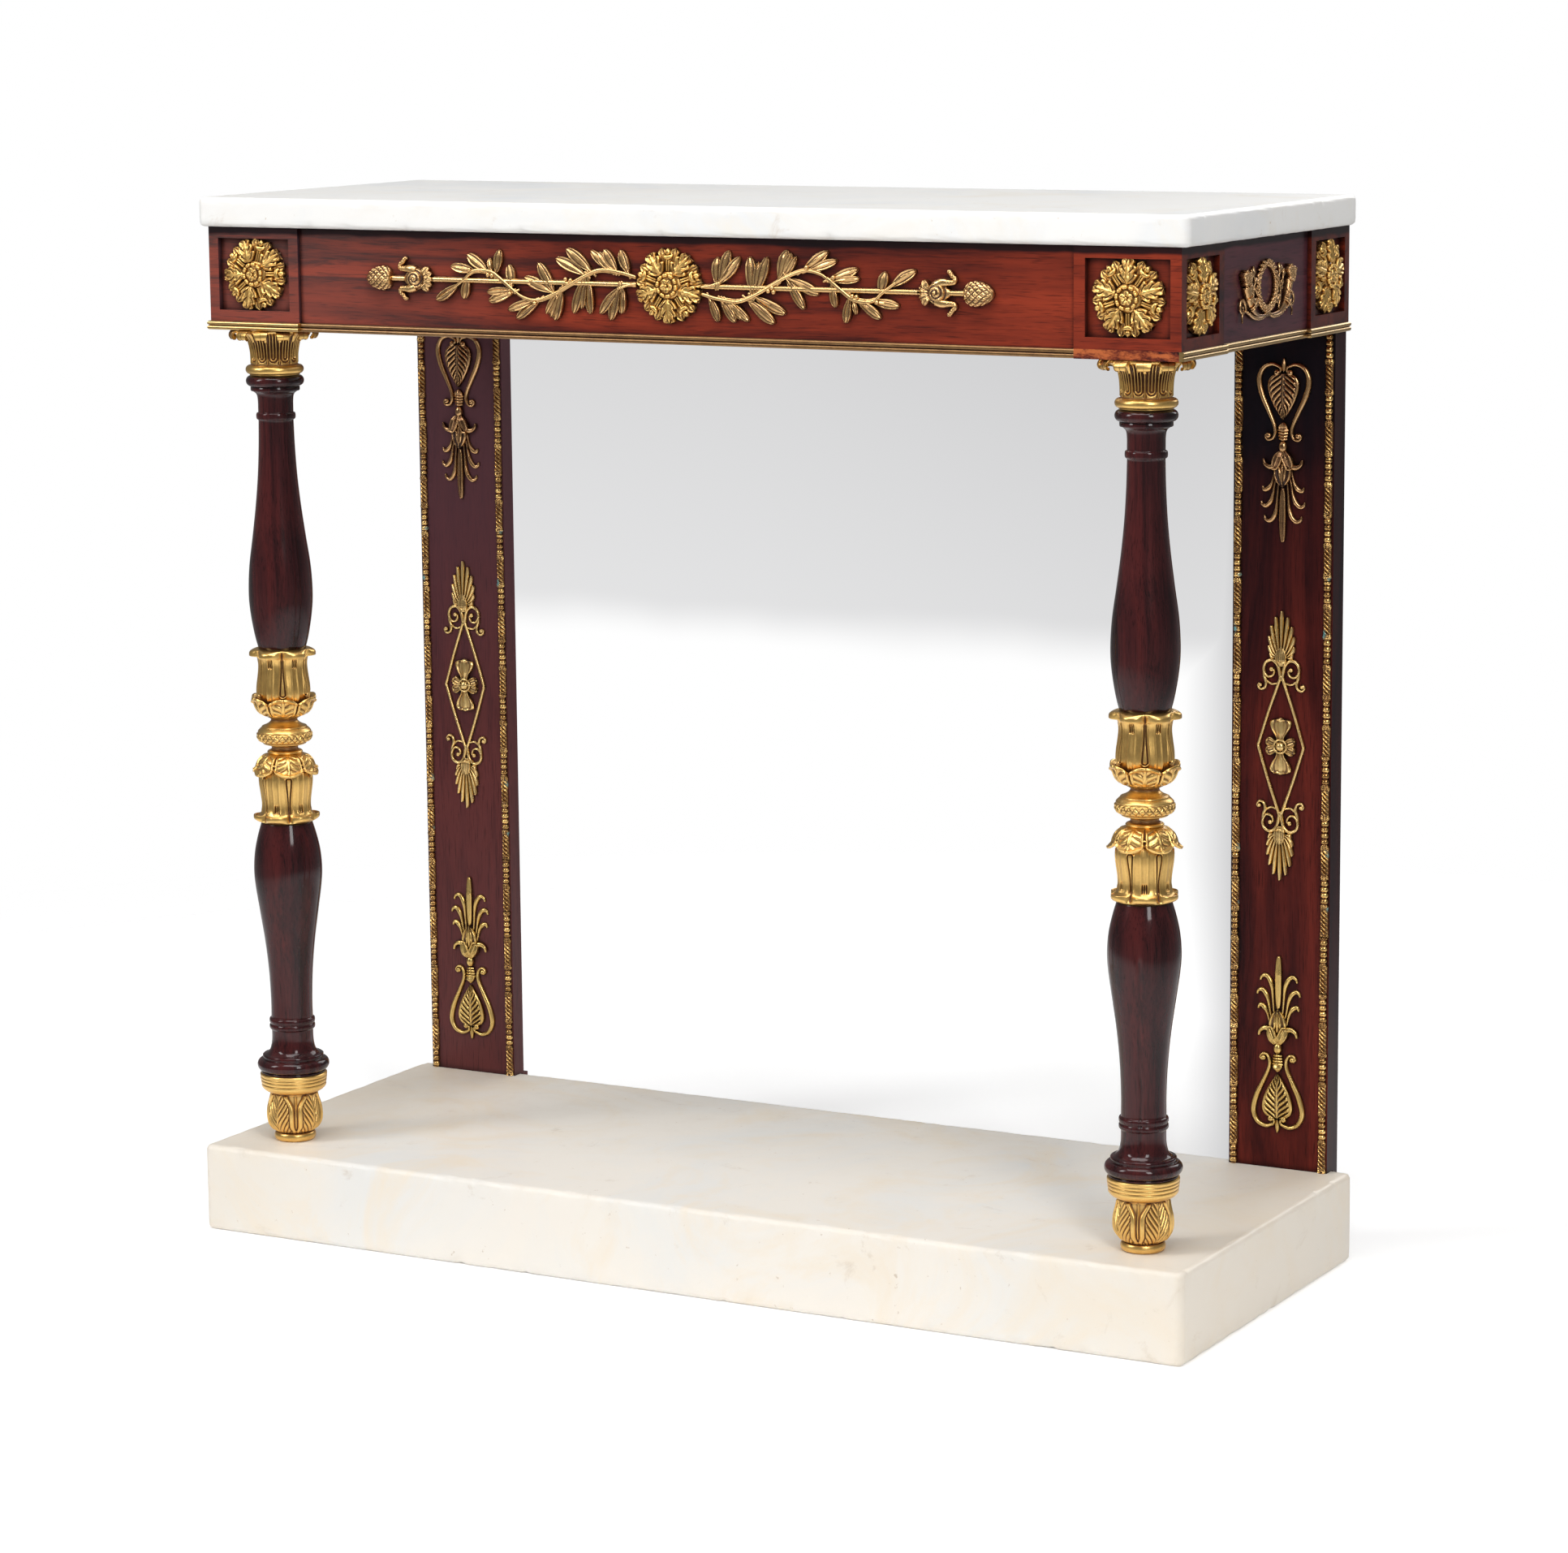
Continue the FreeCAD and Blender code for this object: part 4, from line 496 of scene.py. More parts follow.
def lobed_leaf(cast, base, tip, widths, notches, lift, rim, rib, size, tip_lobes=3):
    """A cut leaf: its half widths from base to tip, and the stations of its notches."""
    length = dist(base, tip)
    s = np.linspace(0.004, 0.996, size[0])[:, None]
    t = np.linspace(-1, 1, size[1])[None, :]
    knots = smooth([(k / (len(widths) - 1) * 30, w) for k, w in enumerate(widths)], 160)
    half = np.interp(s * 30, knots[:, 0], knots[:, 1])
    scallop = 1 - waves(tip_lobes * t / 2, 0.7)
    far = s * length + 0.34 * np.abs(t) ** 1.5 * half - 0.085 * length * scallop * blend(0.72, 1, s)
    height = along(lift, s) + rim * ridge(np.abs(t) - 0.84, 0.13) + rib * ridge(t, 0.2) * blend(1, 0.8, s)
    height = height + 0.7 * rim * ridge(s - 0.94, 0.05)
    for notch in notches:
        line = s - notch + 0.3 * (1 - np.abs(t))
        height = height - 1.5 * ridge(line, 0.028) * blend(0.12, 0.4, np.abs(t)) * (s < notch + 0.08)
    height = height - 0.9 * scallop * blend(0.6, 0.85, s) * (np.abs(t) > 1 / tip_lobes - 0.18)
    plate(cast, flat_warp(base, tip), far, t * half, np.maximum(height, 0.3))


def rosette():
    """Five lobed leaves, five seed pods between them, a ring of paired beads and a small flower."""
    cast = Cast()
    tilt = np.linspace(0.03, pi / 2, 14)[:, None]
    turn = turns(96)
    disc = np.stack([np.sin(tilt) * np.cos(turn) * 12.2, np.sin(tilt) * np.sin(turn) * 12.2,
            0.3 + np.cos(tilt) ** 0.5 * 6.4 * np.ones_like(turn)], -1)
    floor_ring = disc[-1:].copy()
    floor_ring[..., 2] = 0
    cast.sheet(np.concatenate([disc, floor_ring]))
    for k in range(5):
        angle = 90 + 72 * k
        for side in (-1, 1):
            low = angle + side * 22.5
            lobed_leaf(cast, polar(13, low - side * 4), polar(31.2, low + side * 1.5),
                    [1.8, 2.4, 2.8, 3.8, 2.4, 3.9, 2.8, 0.4], (0.5,), [2.0, 3.0, 3.6, 3.0, 1.8], rim=0.7,
                    rib=0.6, size=(50, 29))
        wobble = chance.uniform(-1.5, 1.5)
        lobed_leaf(cast, polar(10.6, angle), polar(31, angle + wobble),
                [4.2, 7.2, 8.4, 5.6, 6.9, 7.2, 4.8, 5.6, 4.8, 0.6], (0.34, 0.68),
                [5.4, 6.6, 6.2, 5.6, 4.8, 2.6], rim=1.1, rib=1.2, size=(90, 49))
        pod = angle + 36
        for side in (-1, 1):
            start = np.array(polar(12, pod + side * 4.8))
            finish = np.array(polar(22.6, pod + side * 2.6))
            sweep(cast, [(*start, 4.4), (*((start + finish) / 2), 4.4), (*finish, 3.8)], 10, [0.8], 14)
        hook = [(*polar(25.6, pod - 9.5), 3.4), (*polar(23.6, pod - 7), 4.4), (*polar(22.8, pod), 4.8),
                (*polar(23.6, pod + 7), 4.4), (*polar(25.6, pod + 9.5), 3.4)]
        sweep(cast, hook, 12, [0.8, 1.7, 2.0, 1.7, 0.8], 24)
        seed = np.array(polar(27.4, pod))
        ahead = np.array(polar(1, pod))
        leaf(cast, 6.0, 2.3, [3.0, 4.2, 4.0, 2.6], flat_warp(seed - ahead * 3.2, seed + ahead),
                shape=(0.5, 0.5), camber=1.6, rib=-0.9, size=(18, 15))
    for k in range(20):
        place = polar(8.5, 18 * k + (3.4 if k % 2 else -3.4))
        ball(cast, (*place, 6.6), (1.75, 1.75, 2.2), 14, 9)
    for k in range(5):
        place = polar(3.6, 90 + 72 * k)
        leaf(cast, 5.2, 2.5, [6.6, 8.0, 7.8], flat_warp(polar(0.6, 90 + 72 * k), place), shape=(0.4, 0.4),
                camber=0.9, rib=-1.3, size=(16, 13))
    ball(cast, (0, 0, 8.3), (1.1, 1.1, 0.9), 12, 8)
    return cast


GARLAND_STEMS = (
    [(30.5, -6), (45, -9.5), (64, -11.4), (80, -5.6), (94, 1.6), (108, 9), (125, 14.6), (139, 12.4),
        (148, 6.7)],
    [(145, 9.5), (158.8, -0.9), (170, -7.6), (185, -8.2), (195, -1), (206, 7)],
    [(30.5, -0.5), (38, 0.6), (48, 3.6)],
)
# Leaves of the garland as (base, tip, half width).
GARLAND_LEAVES = (
    ((44, 1), (45, 24), 3.7), ((47, 2), (55.5, 29.5), 4.3), ((46, 2), (65.5, 24.5), 3.9),
    ((76, -6), (74.7, 25), 4.2), ((78, -5), (83, 21), 3.3), ((80, -5), (90.6, 25), 4.0),
    ((101, 6), (108.7, 31), 4.4), ((102, 6.5), (112.5, 28.5), 3.2), ((104, 7), (117, 26), 2.8),
    ((122, 14), (145.7, 30.5), 3.9), ((127, 14.5), (154, 23.5), 3.4), ((146, 8), (172.5, 17), 3.7),
    ((149, 7), (174, 9.3), 3.1), ((108, 9), (124, -16), 4.0), ((110, 8.5), (137.5, -3.8), 4.2),
    ((149, 6), (152, -14), 3.6), ((37, -8), (45.5, -28), 3.8), ((48, -10), (61, -28), 3.8),
    ((51, -10), (67, -25.5), 3.4), ((54, -10.5), (73.5, -27), 3.4), ((72, -9), (96.8, -28), 4.4),
    ((78, -6.5), (107, -20), 4.1), ((165, -5), (161, -26), 3.6), ((168, -6.5), (171, -19), 2.2),
    ((172, -8), (192.5, -21.5), 4.0), ((184, -8), (209, -11.4), 3.7), ((192, -3.5), (196.6, 15.6), 4.0),
    ((201, 3), (224, 17), 3.9),
)
GARLAND_BERRIES = ((95.5, 0.5), (97, -2.9), (92.2, -2.2), (168, -4.4), (171.8, -4.9), (190, -8.8),
        (127, 17.4), (151, 10))


def garland():
    cast = Cast()
    sweep(cast, [(30.5, 0, 1.9), (130, 0, 1.9), (229, 0, 1.9)], 14, [2.3], 60)
    for number, stem in enumerate(GARLAND_STEMS):
        path = [(x, y, 3.4) for x, y in stem]
        sweep(cast, path, 12, [1.5, 1.7, 1.5, 1.1] if number < 2 else [1.2], 70)
        if number < 2:
            inner = [(x + 0.6, y + 1.7, 3.0) for x, y in stem[1:-1]]
            sweep(cast, inner, 10, [0.5, 1.0, 1.0, 0.5], 60)
    for number, (base, tip, half) in enumerate(GARLAND_LEAVES):
        length = dist(base, tip)
        lean = 0.5 if number % 3 else 1.0
        warp = flat_warp(base, tip)

        def leaning(far, across, height, warp=warp, lean=lean, length=length):
            return warp(far, across, height + lean * 0.28 * across * np.sin(pi * np.clip(far / length, 0, 1)))

        leaf(cast, length, 1.12 * half, [2.8, 2.4, 3.0, 2.8, 1.6], leaning, shape=(0.9, 0.6), camber=0.2,
                fold=1.3, rib=0.5, veins=2, vein=0.4, rim=0.7, bend=chance.uniform(-0.9, 0.9),
                size=(40, 33))
        way = np.array(tip) - base
        sweep(cast, [(*(base - 0.16 * way), 3.2), (*base, 3.5), (*(base + 0.3 * way), 3.4)], 8,
                [1.0, 0.9, 0.35], 14)
    for x, y in GARLAND_BERRIES:
        ball(cast, (x, y, 3.6), (2.0, 2.0, 2.2), 14, 9)
    return cast


def finial():
    """A leafy cup with two curling horns, and the pine cone beyond. Its x starts at the rod's end."""
    cast = Cast()
    sweep(cast, [(-2, 0, 1.9), (20, 0, 1.9), (44, 0, 1.9)], 14, [2.3], 30)
    for tilt in (-72, -36, 0, 36, 72):
        angle = radians(180 + tilt)
        tip = (7.4 + 7.0 * cos(angle), 7.6 * sin(angle))
        leaf(cast, 8.6, 2.6, [3.4, 5.6, 5.2, 3.2], flat_warp((8.4, 2.8 * sin(angle)), tip),
                shape=(0.35, 0.3), camber=0.9, rib=-1.0, rim=0.8, size=(20, 17))
    s = np.linspace(0.02, 0.98, 60)[:, None]
    turn = turns(72)
    swell = along([3.0, 7.2, 8.9, 9.3, 9.0, 8.2, 6.6, 4.6, 2.6], s)
    x = 7.5 + 19.5 * s + np.zeros_like(turn)
    y = swell * np.cos(turn)
    near = np.hypot((x - 15.4) * 0.95, y)
    coil = np.cos(TAU * (near / 3.1 - np.arctan2(y, x - 15.4) / TAU))
    high = 2.0 + swell * np.sin(turn) * 0.66
    high = high + np.where(np.sin(turn) > 0, 0.75 * coil * (near < 8.6) * blend(0, 0.4, np.sin(turn)), 0)
    cast.sheet(np.stack([x, y, np.maximum(high, 0)], -1))
    ball(cast, (15.4, 0, 8.0), (1.2, 1.2, 1.1), 14, 9)
    for side in (-1, 1):
        horn = [(x, y * side, z) for x, y, z in (
                (15, 6.6, 3.8), (20, 8.2, 4.0), (25.4, 8.3, 3.6), (30, 8.6, 3.2), (31, 11.2, 2.8),
                (28.6, 13.4, 2.6), (27, 15.6, 2.6), (25.8, 17.0, 2.4), (24.4, 15.8, 2.2))]
        sweep(cast, horn, 16, [3.6, 3.6, 3.2, 2.5, 2.2, 2.0, 1.9, 1.8, 1.2], 72,
                [3.4, 3.2, 2.8, 2.4, 2.1, 1.9, 1.8, 1.7, 1.1])
        for k in range(9):
            spot = smooth(horn, 60)[16 + 5 * k] + (0, 0, 1.1)
            ball(cast, spot, (1.0, 2.5 - 0.12 * k, 1.6 - 0.06 * k), 12, 8)
    s = np.linspace(0.01, 0.99, 110)[:, None]
    turn = turns(132)
    swell = 9.6 * s**0.36 * (1 - s) ** 0.62 / (0.367**0.36 * 0.633**0.62)
    scales = (lattice(5 * turn, 13 * s, 0.55) - 0.6) * blend(0.02, 0.1, s) * blend(1, 0.93, s)
    swell = swell * (1 + 0.2 * scales)
    x = 39 + 26 * s + np.zeros_like(turn)
    high = 2.2 + swell * np.sin(turn) * 0.86
    cast.sheet(np.stack([x, swell * np.cos(turn), np.maximum(high, 0)], -1))
    return cast


HORN_WIDTHS = [4.6, 3.2, 2.3, 1.6, 1.2, 1.0]


def wreath():
    """A laurel ring between two cornucopias, with scrolled tails and tendrils."""
    cast = Cast()
    count = 26
    sweep(cast, [(18 * sin(a), 18 * cos(a), 1.8) for a in np.linspace(0, TAU, 41)], 10, [1.3], 90)
    for k in range(count):
        for row, lean in ((19.6, 0.34), (18.0, 0.0), (16.6, -0.26)):
            a = TAU * (k + 0.5 * (lean == 0)) / count
            out = np.array((sin(a), cos(a)))
            ahead = np.array((-out[1], out[0])) * (1 if a > pi else -1)
            tip = row * out + 5.2 * (ahead + lean * out)
            leaf(cast, 4.6, 1.0, [2.0, 3.8 - abs(lean), 2.0], flat_warp(row * out, tip), camber=0.5,
                    size=(10, 7))
    for side in (-1, 1):
        horn = flipped(side, [(43.6, 2), (41.5, -4), (38, -11), (31.5, -17.5), (20, -22), (0, -23.4)], 2.6)
        sweep(cast, horn, 18, HORN_WIDTHS, 60, [3.8, 3.4, 2.8, 2.2, 1.6, 1.2])
        for part in (0.0, 0.17, 0.33, 0.36):
            spot, beyond = smooth(horn, 60)[int(part * 59):][:2, :2]
            way = (beyond - spot) / np.linalg.norm(beyond - spot)
            across = np.array((-way[1], way[0])) * (along(HORN_WIDTHS, part) + 0.5)
            band = [(*(spot + across * k), 3.2 + 3.6 * sqrt(1 - k * k * 0.96)) for k in np.linspace(-1, 1, 9)]
            sweep(cast, band, 8, [0.7], 18)
        for k in range(6):
            aside = k - 2.5
            path = flipped(side, [(42.8 + aside * 1.7, 2), (40.4 + aside * 1.3, -4.5), (37.0 + aside, -11)],
                    5.8 - 0.28 * aside**2)
            sweep(cast, path, 6, [0.55, 0.5, 0.4], 12)
        for k in range(11):
            a = k * 2.4
            spread = 6.4 * sqrt(k / 11)
            centre = (45 * side + spread * cos(a), 8.6 + 0.8 * spread * sin(a))
            for petal in range(4):
                tip = np.array(centre) + polar(2.7, petal * 90 + a * 180 / pi)
                leaf(cast, 3.0, 1.3, [4.6, 6.2, 5.4], flat_warp(centre, tip), shape=(0.4, 0.4), camber=0.4,
                        size=(8, 7))
            ball(cast, (*centre, 5.6), (0.9, 0.9, 1.0), 8, 6)
        tail = flipped(side, [(0, -21), (12, -24.6), (26, -23.8), (38, -19.6), (45, -17.6), (50.5, -20.4),
                (50.5, -26.5)], 2.4)
        sweep(cast, tail, 12, [1.5, 1.7, 1.7, 1.6, 1.3, 1.0, 0.7], 60)
        for k in range(12):
            ball(cast, (*smooth(tail, 60)[3 + 4 * k][:2], 3.2), (0.8, 1.7 - 0.07 * k, 1.0), 8, 6)
        scroll = flipped(side, [(43, -17.6), (45, -12.2), (49.2, -8.6), (53.4, -10), (54.6, -15),
                (51.8, -18.4), (48.6, -16.4), (49.4, -13.4)], 2.2)
        sweep(cast, scroll, 10, [1.2, 1.2, 1.3, 1.3, 1.1, 0.9, 0.8, 0.9], 60)
        for tendril in ([(24, -19), (27.4, -11), (27, -3), (24.6, 4), (26.6, 10.4)],
                [(27, -6), (31.5, 0), (33.4, 7)], [(20.5, -5), (24.4, -1), (29, 1.4)],
                [(17, -12), (22, -9), (26.8, -10.5)]):
            sweep(cast, flipped(side, tendril, 2.0), 8, [1.0, 0.9, 0.8, 0.5], 30)
        for x, y, tip_x, tip_y in ((26.6, 8, 26, 17), (26.6, 8, 30.6, 15), (33.2, 5, 35.6, 12),
                (27, -3, 32.5, -2), (27.2, -8, 22.5, -14), (24.8, 2, 20.8, 8), (29, 1, 34, 2.4),
                (23, -16, 18, -10)):
            leaf(cast, dist((x, y), (tip_x, tip_y)), 1.9, [1.8, 3.0, 1.6],
                    flat_warp((x * side, y), (tip_x * side, tip_y)), shape=(0.7, 0.6), camber=0.4,
                    size=(12, 9))
    return cast


# ---------------- mounts on the uprights
ROUNDED = np.array([(cos(a), sin(a)) for a in np.linspace(pi, 0, 9)], float)


def lyre():
    """The lyre mount, hanging from its tip at 0,0."""
    cast = Cast()
    for side in (-1, 1):
        arm = flipped(side, [(5.0, -13.2), (3.0, -11.2), (3.2, -8.4), (6, -6.6), (11, -5.4), (17.6, -8),
                (21.6, -14.6), (22, -22), (18.8, -33), (13.6, -44), (8.6, -55), (7.4, -62), (9.6, -67.4),
                (13.8, -68.4), (16, -65.4), (14, -63)], 0.0)
        sweep(cast, arm, ROUNDED, [1.1, 1.5, 1.8, 2.0, 2.2, 2.5, 2.6, 2.6, 2.5, 2.3, 2.1, 1.9, 1.7, 1.5, 1.3,
                1.1], 120, [2.9])
        ball(cast, (5.8 * side, -12.4, 2.2), (2.6, 2.6, 2.0), 14, 9)
        ball(cast, (13.2 * side, -64.8, 1.8), (2.3, 2.3, 1.8), 14, 9)
        wing = flipped(side, [(2.6, -84), (6.6, -89.4), (11.6, -91), (16, -88.6), (17.4, -84.4)], 2.0)
        sweep(cast, wing, 12, [3.0, 3.0, 2.3, 1.7, 1.0], 36, [2.6, 2.4, 2.0, 1.6, 1.2])
        for points in ([(7.2, -93), (8.6, -99), (10.4, -105), (13.6, -109.4), (17, -110.4), (18.6, -107.4)],
                [(5.4, -97), (7.6, -106), (9, -114), (11.2, -120), (15, -123.8), (18.4, -122.8),
                (19.6, -119.8)], [(3.6, -101), (4.8, -114), (5.8, -126), (8.2, -133), (12, -136.4),
                (15.6, -135), (16.8, -131.8)]):
            ray = flipped(side, points, 0.0)
            sweep(cast, ray, ROUNDED, [0.9, 1.0, 1.1, 1.5, 2.3, 2.0, 0.9], 60,
                    [2.0, 2.0, 2.2, 2.6, 3.0, 2.4, 1.6])
        leaf(cast, 15, 4.2, [3.0, 5.0, 4.4, 3.4], flat_warp((1.4 * side, -77.6), (7.4 * side, -92)),
                shape=(0.5, 0.35), camber=1.2, rib=0.6, rim=0.5, size=(26, 19))
        sweep(cast, flipped(side, [(0, -83), (2.4, -88), (4.8, -92.2), (8.4, -92.6)], 5.2), 8, [0.8], 24)
    leaf(cast, 39, 13.6, [1.9, 2.6, 2.8, 2.6, 1.6], flat_warp((0, -13), (0, -52)), shape=(0.32, 0.95),
            camber=0.3, rib=1.4, rim=0.9, barbs=8, barb=1.7, slant=0.27, size=(130, 57))
    leaf(cast, 12, 1.6, [1.6, 2.2, 1.4], flat_warp((0, -12), (0, 0.2)), rib=0.4, size=(18, 11))
    leaf(cast, 7.2, 4.0, [1.8, 3.4, 1.8], flat_warp((0, -60.5), (0, -53.6)), shape=(0.25, 0.7), camber=0.8,
            size=(16, 15))
    for k in range(4):
        width = 4.4 - 0.35 * k
        sweep(cast, [(-width, -60 - 2.5 * k, 1.2), (0, -60.3 - 2.5 * k, 3.2), (width, -60 - 2.5 * k, 1.2)],
                10, [1.0], 20)
    ball(cast, (0, -74, 1.8), (3.6, 5.0, 3.4), 20, 14)
    ball(cast, (0, -78.6, 1.6), (2.6, 1.4, 2.6), 16, 8)
    ball(cast, (0, -81.6, 3.6), (1.8, 2.2, 1.6), 14, 9)
    lobed_leaf(cast, (0, -88), (0, -108.4), [6.8, 8.0, 7.4, 5.8, 3.6, 0.4], (), [2.4, 3.2, 3.2, 2.2],
            tip_lobes=1, rim=1.6, rib=1.8, size=(50, 37))
    for side in (-1, 1):
        leaf(cast, 13, 1.3, [3.4, 4.0, 3.0], flat_warp((3.0 * side, -90), (1.4 * side, -103)), rib=0.2,
                size=(20, 11))
    leaf(cast, 46, 2.7, [2.0, 2.4, 2.6, 1.6], flat_warp((0, -108), (0, -154)), shape=(0.3, 0.25), camber=0.9,
            rib=0.5, size=(40, 13))
    return cast


def lozenge():
    """A long rhombus between two palmettes on scrolls."""
    cast = Cast()
    for end in (-1, 1):
        for number in range(-5, 6):
            spread = abs(number)
            tilt = radians(90 - 15.2 * number)
            reach = 41 - 3.2 * spread - 0.95 * spread**1.55
            base = np.array((0.9 * number, (74 + 0.3 * spread) * end))
            tip = base + reach * np.array((cos(tilt) * (0.5 - 0.01 * spread), sin(tilt) * end))
            leaf(cast, dist(base, tip), 1.9, [0.8, 1.2, 1.4, 1.0], flat_warp(base, tip), shape=(0.8, 0.24),
                    camber=2.0, rib=0.0, bend=-0.385 * number * end, size=(40, 19))
        leaf(cast, 16, 5.0, [2.4, 3.6, 3.4, 2.6], flat_warp((0, 68 * end), (0, 84 * end)), shape=(0.3, 0.4),
                camber=0.5, veins=3, vein=0.8, rib=0.2, rim=0.7, size=(30, 31))
        for side in (-1, 1):
            points = [(0.8, 56), (1.4, 62), (3.4, 69), (8.4, 73), (14.2, 70.6), (16, 64.4), (12.8, 59.2),
                    (8.2, 59.6), (6.4, 63.6), (8.8, 66.4)]
            sweep(cast, flipped(side, points, 0.0, end), ROUNDED, [1.5, 1.6, 1.7, 1.7, 1.6, 1.5, 1.3, 1.2,
                    1.1, 1.0], 90, [2.6])
            ball(cast, (8.8 * side, 65.2 * end, 1.7), (1.9, 1.9, 1.7), 14, 9)
            points = [(15.8, 65), (15.4, 59), (13.8, 54.2), (14.8, 49.4), (18.6, 47.8), (21, 50.6),
                    (19.4, 53)]
            sweep(cast, flipped(side, points, 0.0, end), ROUNDED, [1.3, 1.4, 1.5, 1.4, 1.3, 1.2, 1.0], 50,
                    [2.4])
            ball(cast, (18.9 * side, 51.4 * end, 1.6), (1.7, 1.7, 1.6), 12, 8)
            sweep(cast, flipped(side, [(3.5, 53.5), (9, 52.6), (13.6, 55.6)], 0, end), ROUNDED,
                    [0.9, 1.0, 0.9], 16, [1.7])
            sweep(cast, flipped(side, [(0.3, 60), (11, 30), (20.6, 0)], 0.1, end), ROUNDED, [1.5], 50, [2.4])
        sweep(cast, [(-3.8, 72 * end, 2.0), (0, 70.6 * end, 4.0), (3.8, 72 * end, 2.0)], 10, [1.1], 18)
    return cast


def flower():
    """Four petals with raised edges round a boss, the upright ones longer."""
    cast = Cast()
    for end in (-1, 1):
        lobed_leaf(cast, (0, -2 * end), (0, 24.4 * end), [3.2, 3.4, 3.2, 4.4, 7.4, 9.2, 9.4, 7.6, 2.0], (),
                [1.6, 1.9, 2.2, 1.9, 1.4], tip_lobes=1, rim=1.5, rib=1.1, size=(64, 45))
        for lobe in (-1, 1):
            lobed_leaf(cast, (0, 0), (13.2 * end, 5.2 * lobe), [1.6, 2.2, 3.2, 4.0, 3.6, 0.8], (),
                    [2.0, 2.2, 2.0, 1.6], tip_lobes=1, rim=1.7, rib=-0.6, size=(40, 29))
    ball(cast, (0, 0, 2.4), (3.9, 3.9, 3.2), 24, 12)
    sweep(cast, [(*polar(5.6, a), 2.8) for a in np.linspace(0, 360, 25)], 8, [0.9], 48)
    return cast


STRIP_PITCH = 51.0
BEAD_PITCH = 5.1
SHORTEST_CUT = 4


def strip(length, slip):
    """A cast strip of beads, husks and rope ornament in short lengths, its foot at 0,0."""
    cast = Cast()
    cuts = [0.0]
    while cuts[-1] < length:
        cuts.append(min(length, cuts[-1] + STRIP_PITCH * chance.choice([1, 2, 3]) + chance.uniform(-6, 6)))
    for low, high in zip(cuts, cuts[1:]):
        if high - low < SHORTEST_CUT:
            continue
        y = np.arange(low + 0.35, high - 0.2, 0.45)[:, None]
        t = np.linspace(-1, 1, 19)[None, :]
        phase = (y + slip) % STRIP_PITCH
        beads = phase < 4 * BEAD_PITCH
        round_bead = dome((phase % BEAD_PITCH) * 2 / BEAD_PITCH - 1)
        rope = (phase > 25.5) & (phase < 45.9)
        half = np.where(beads, 0.8 + 2.7 * round_bead, 3.5)
        husk = np.clip(np.where(phase < 25.5, phase - 20.4, STRIP_PITCH - phase) / BEAD_PITCH, 0, 1)
        half = np.where(beads | rope, half, 2.5 + 1.0 * np.sin(pi * husk**0.8) + 0.8 * husk)
        half = half + 0.25 * np.sin(y / 3.1 + low) * np.sin(y / 7.7)
        x = t * half
        bead_high = 0.5 + 3.3 * round_bead * dome(x / 3.3)
        twist = np.abs(np.sin(pi * (y + 0.8 * x) / 3.9)) ** 0.8 * blend(0.9, 0.76, np.abs(t))
        rope_high = 0.6 + 3.0 * twist * dome(t) + 0.8 * ridge(np.abs(t) - 0.92, 0.07)
        veins = waves(husk * 3.2 - 0.75 * np.abs(t), 0.7)
        swell = (0.5 + 1.5 * np.sin(pi * husk**0.7)) * dome(np.abs(t) ** 1.2)
        husk_high = 1.1 + swell * (0.3 + 0.8 * veins) + 0.8 * ridge(t, 0.14)
        high_of = np.where(beads, bead_high, np.where(rope, rope_high, husk_high))
        hole = ridge(np.hypot(x, phase - 23.2), 0.9) if chance.random() < 0.6 else 0
        high_of = np.maximum(high_of - 2.0 * hole, 0.3)
        high_of = high_of * np.where(np.abs(t) > 0.99, 0.35, 1)
        nudge = chance.uniform(-0.35, 0.35)
        lean = chance.uniform(-0.004, 0.004)
        x = x + nudge + lean * (y - (low + high) / 2)
        plate(cast, lambda far, across, height: np.stack([across, far, height], -1), y, x, high_of)
        # Painted highlight on the bead and rope crowns and painted shade between them, added to the hollow
        # depth.
        painted_tone = np.where(beads, 0.42 - 0.95 * round_bead, np.where(rope, 0.42 - 0.95 * twist,
                0.3 - 0.5 * veins))
        cast.shade_depths[-1] += np.concatenate([painted_tone, painted_tone[:, ::-1]], 1).ravel()
    return cast


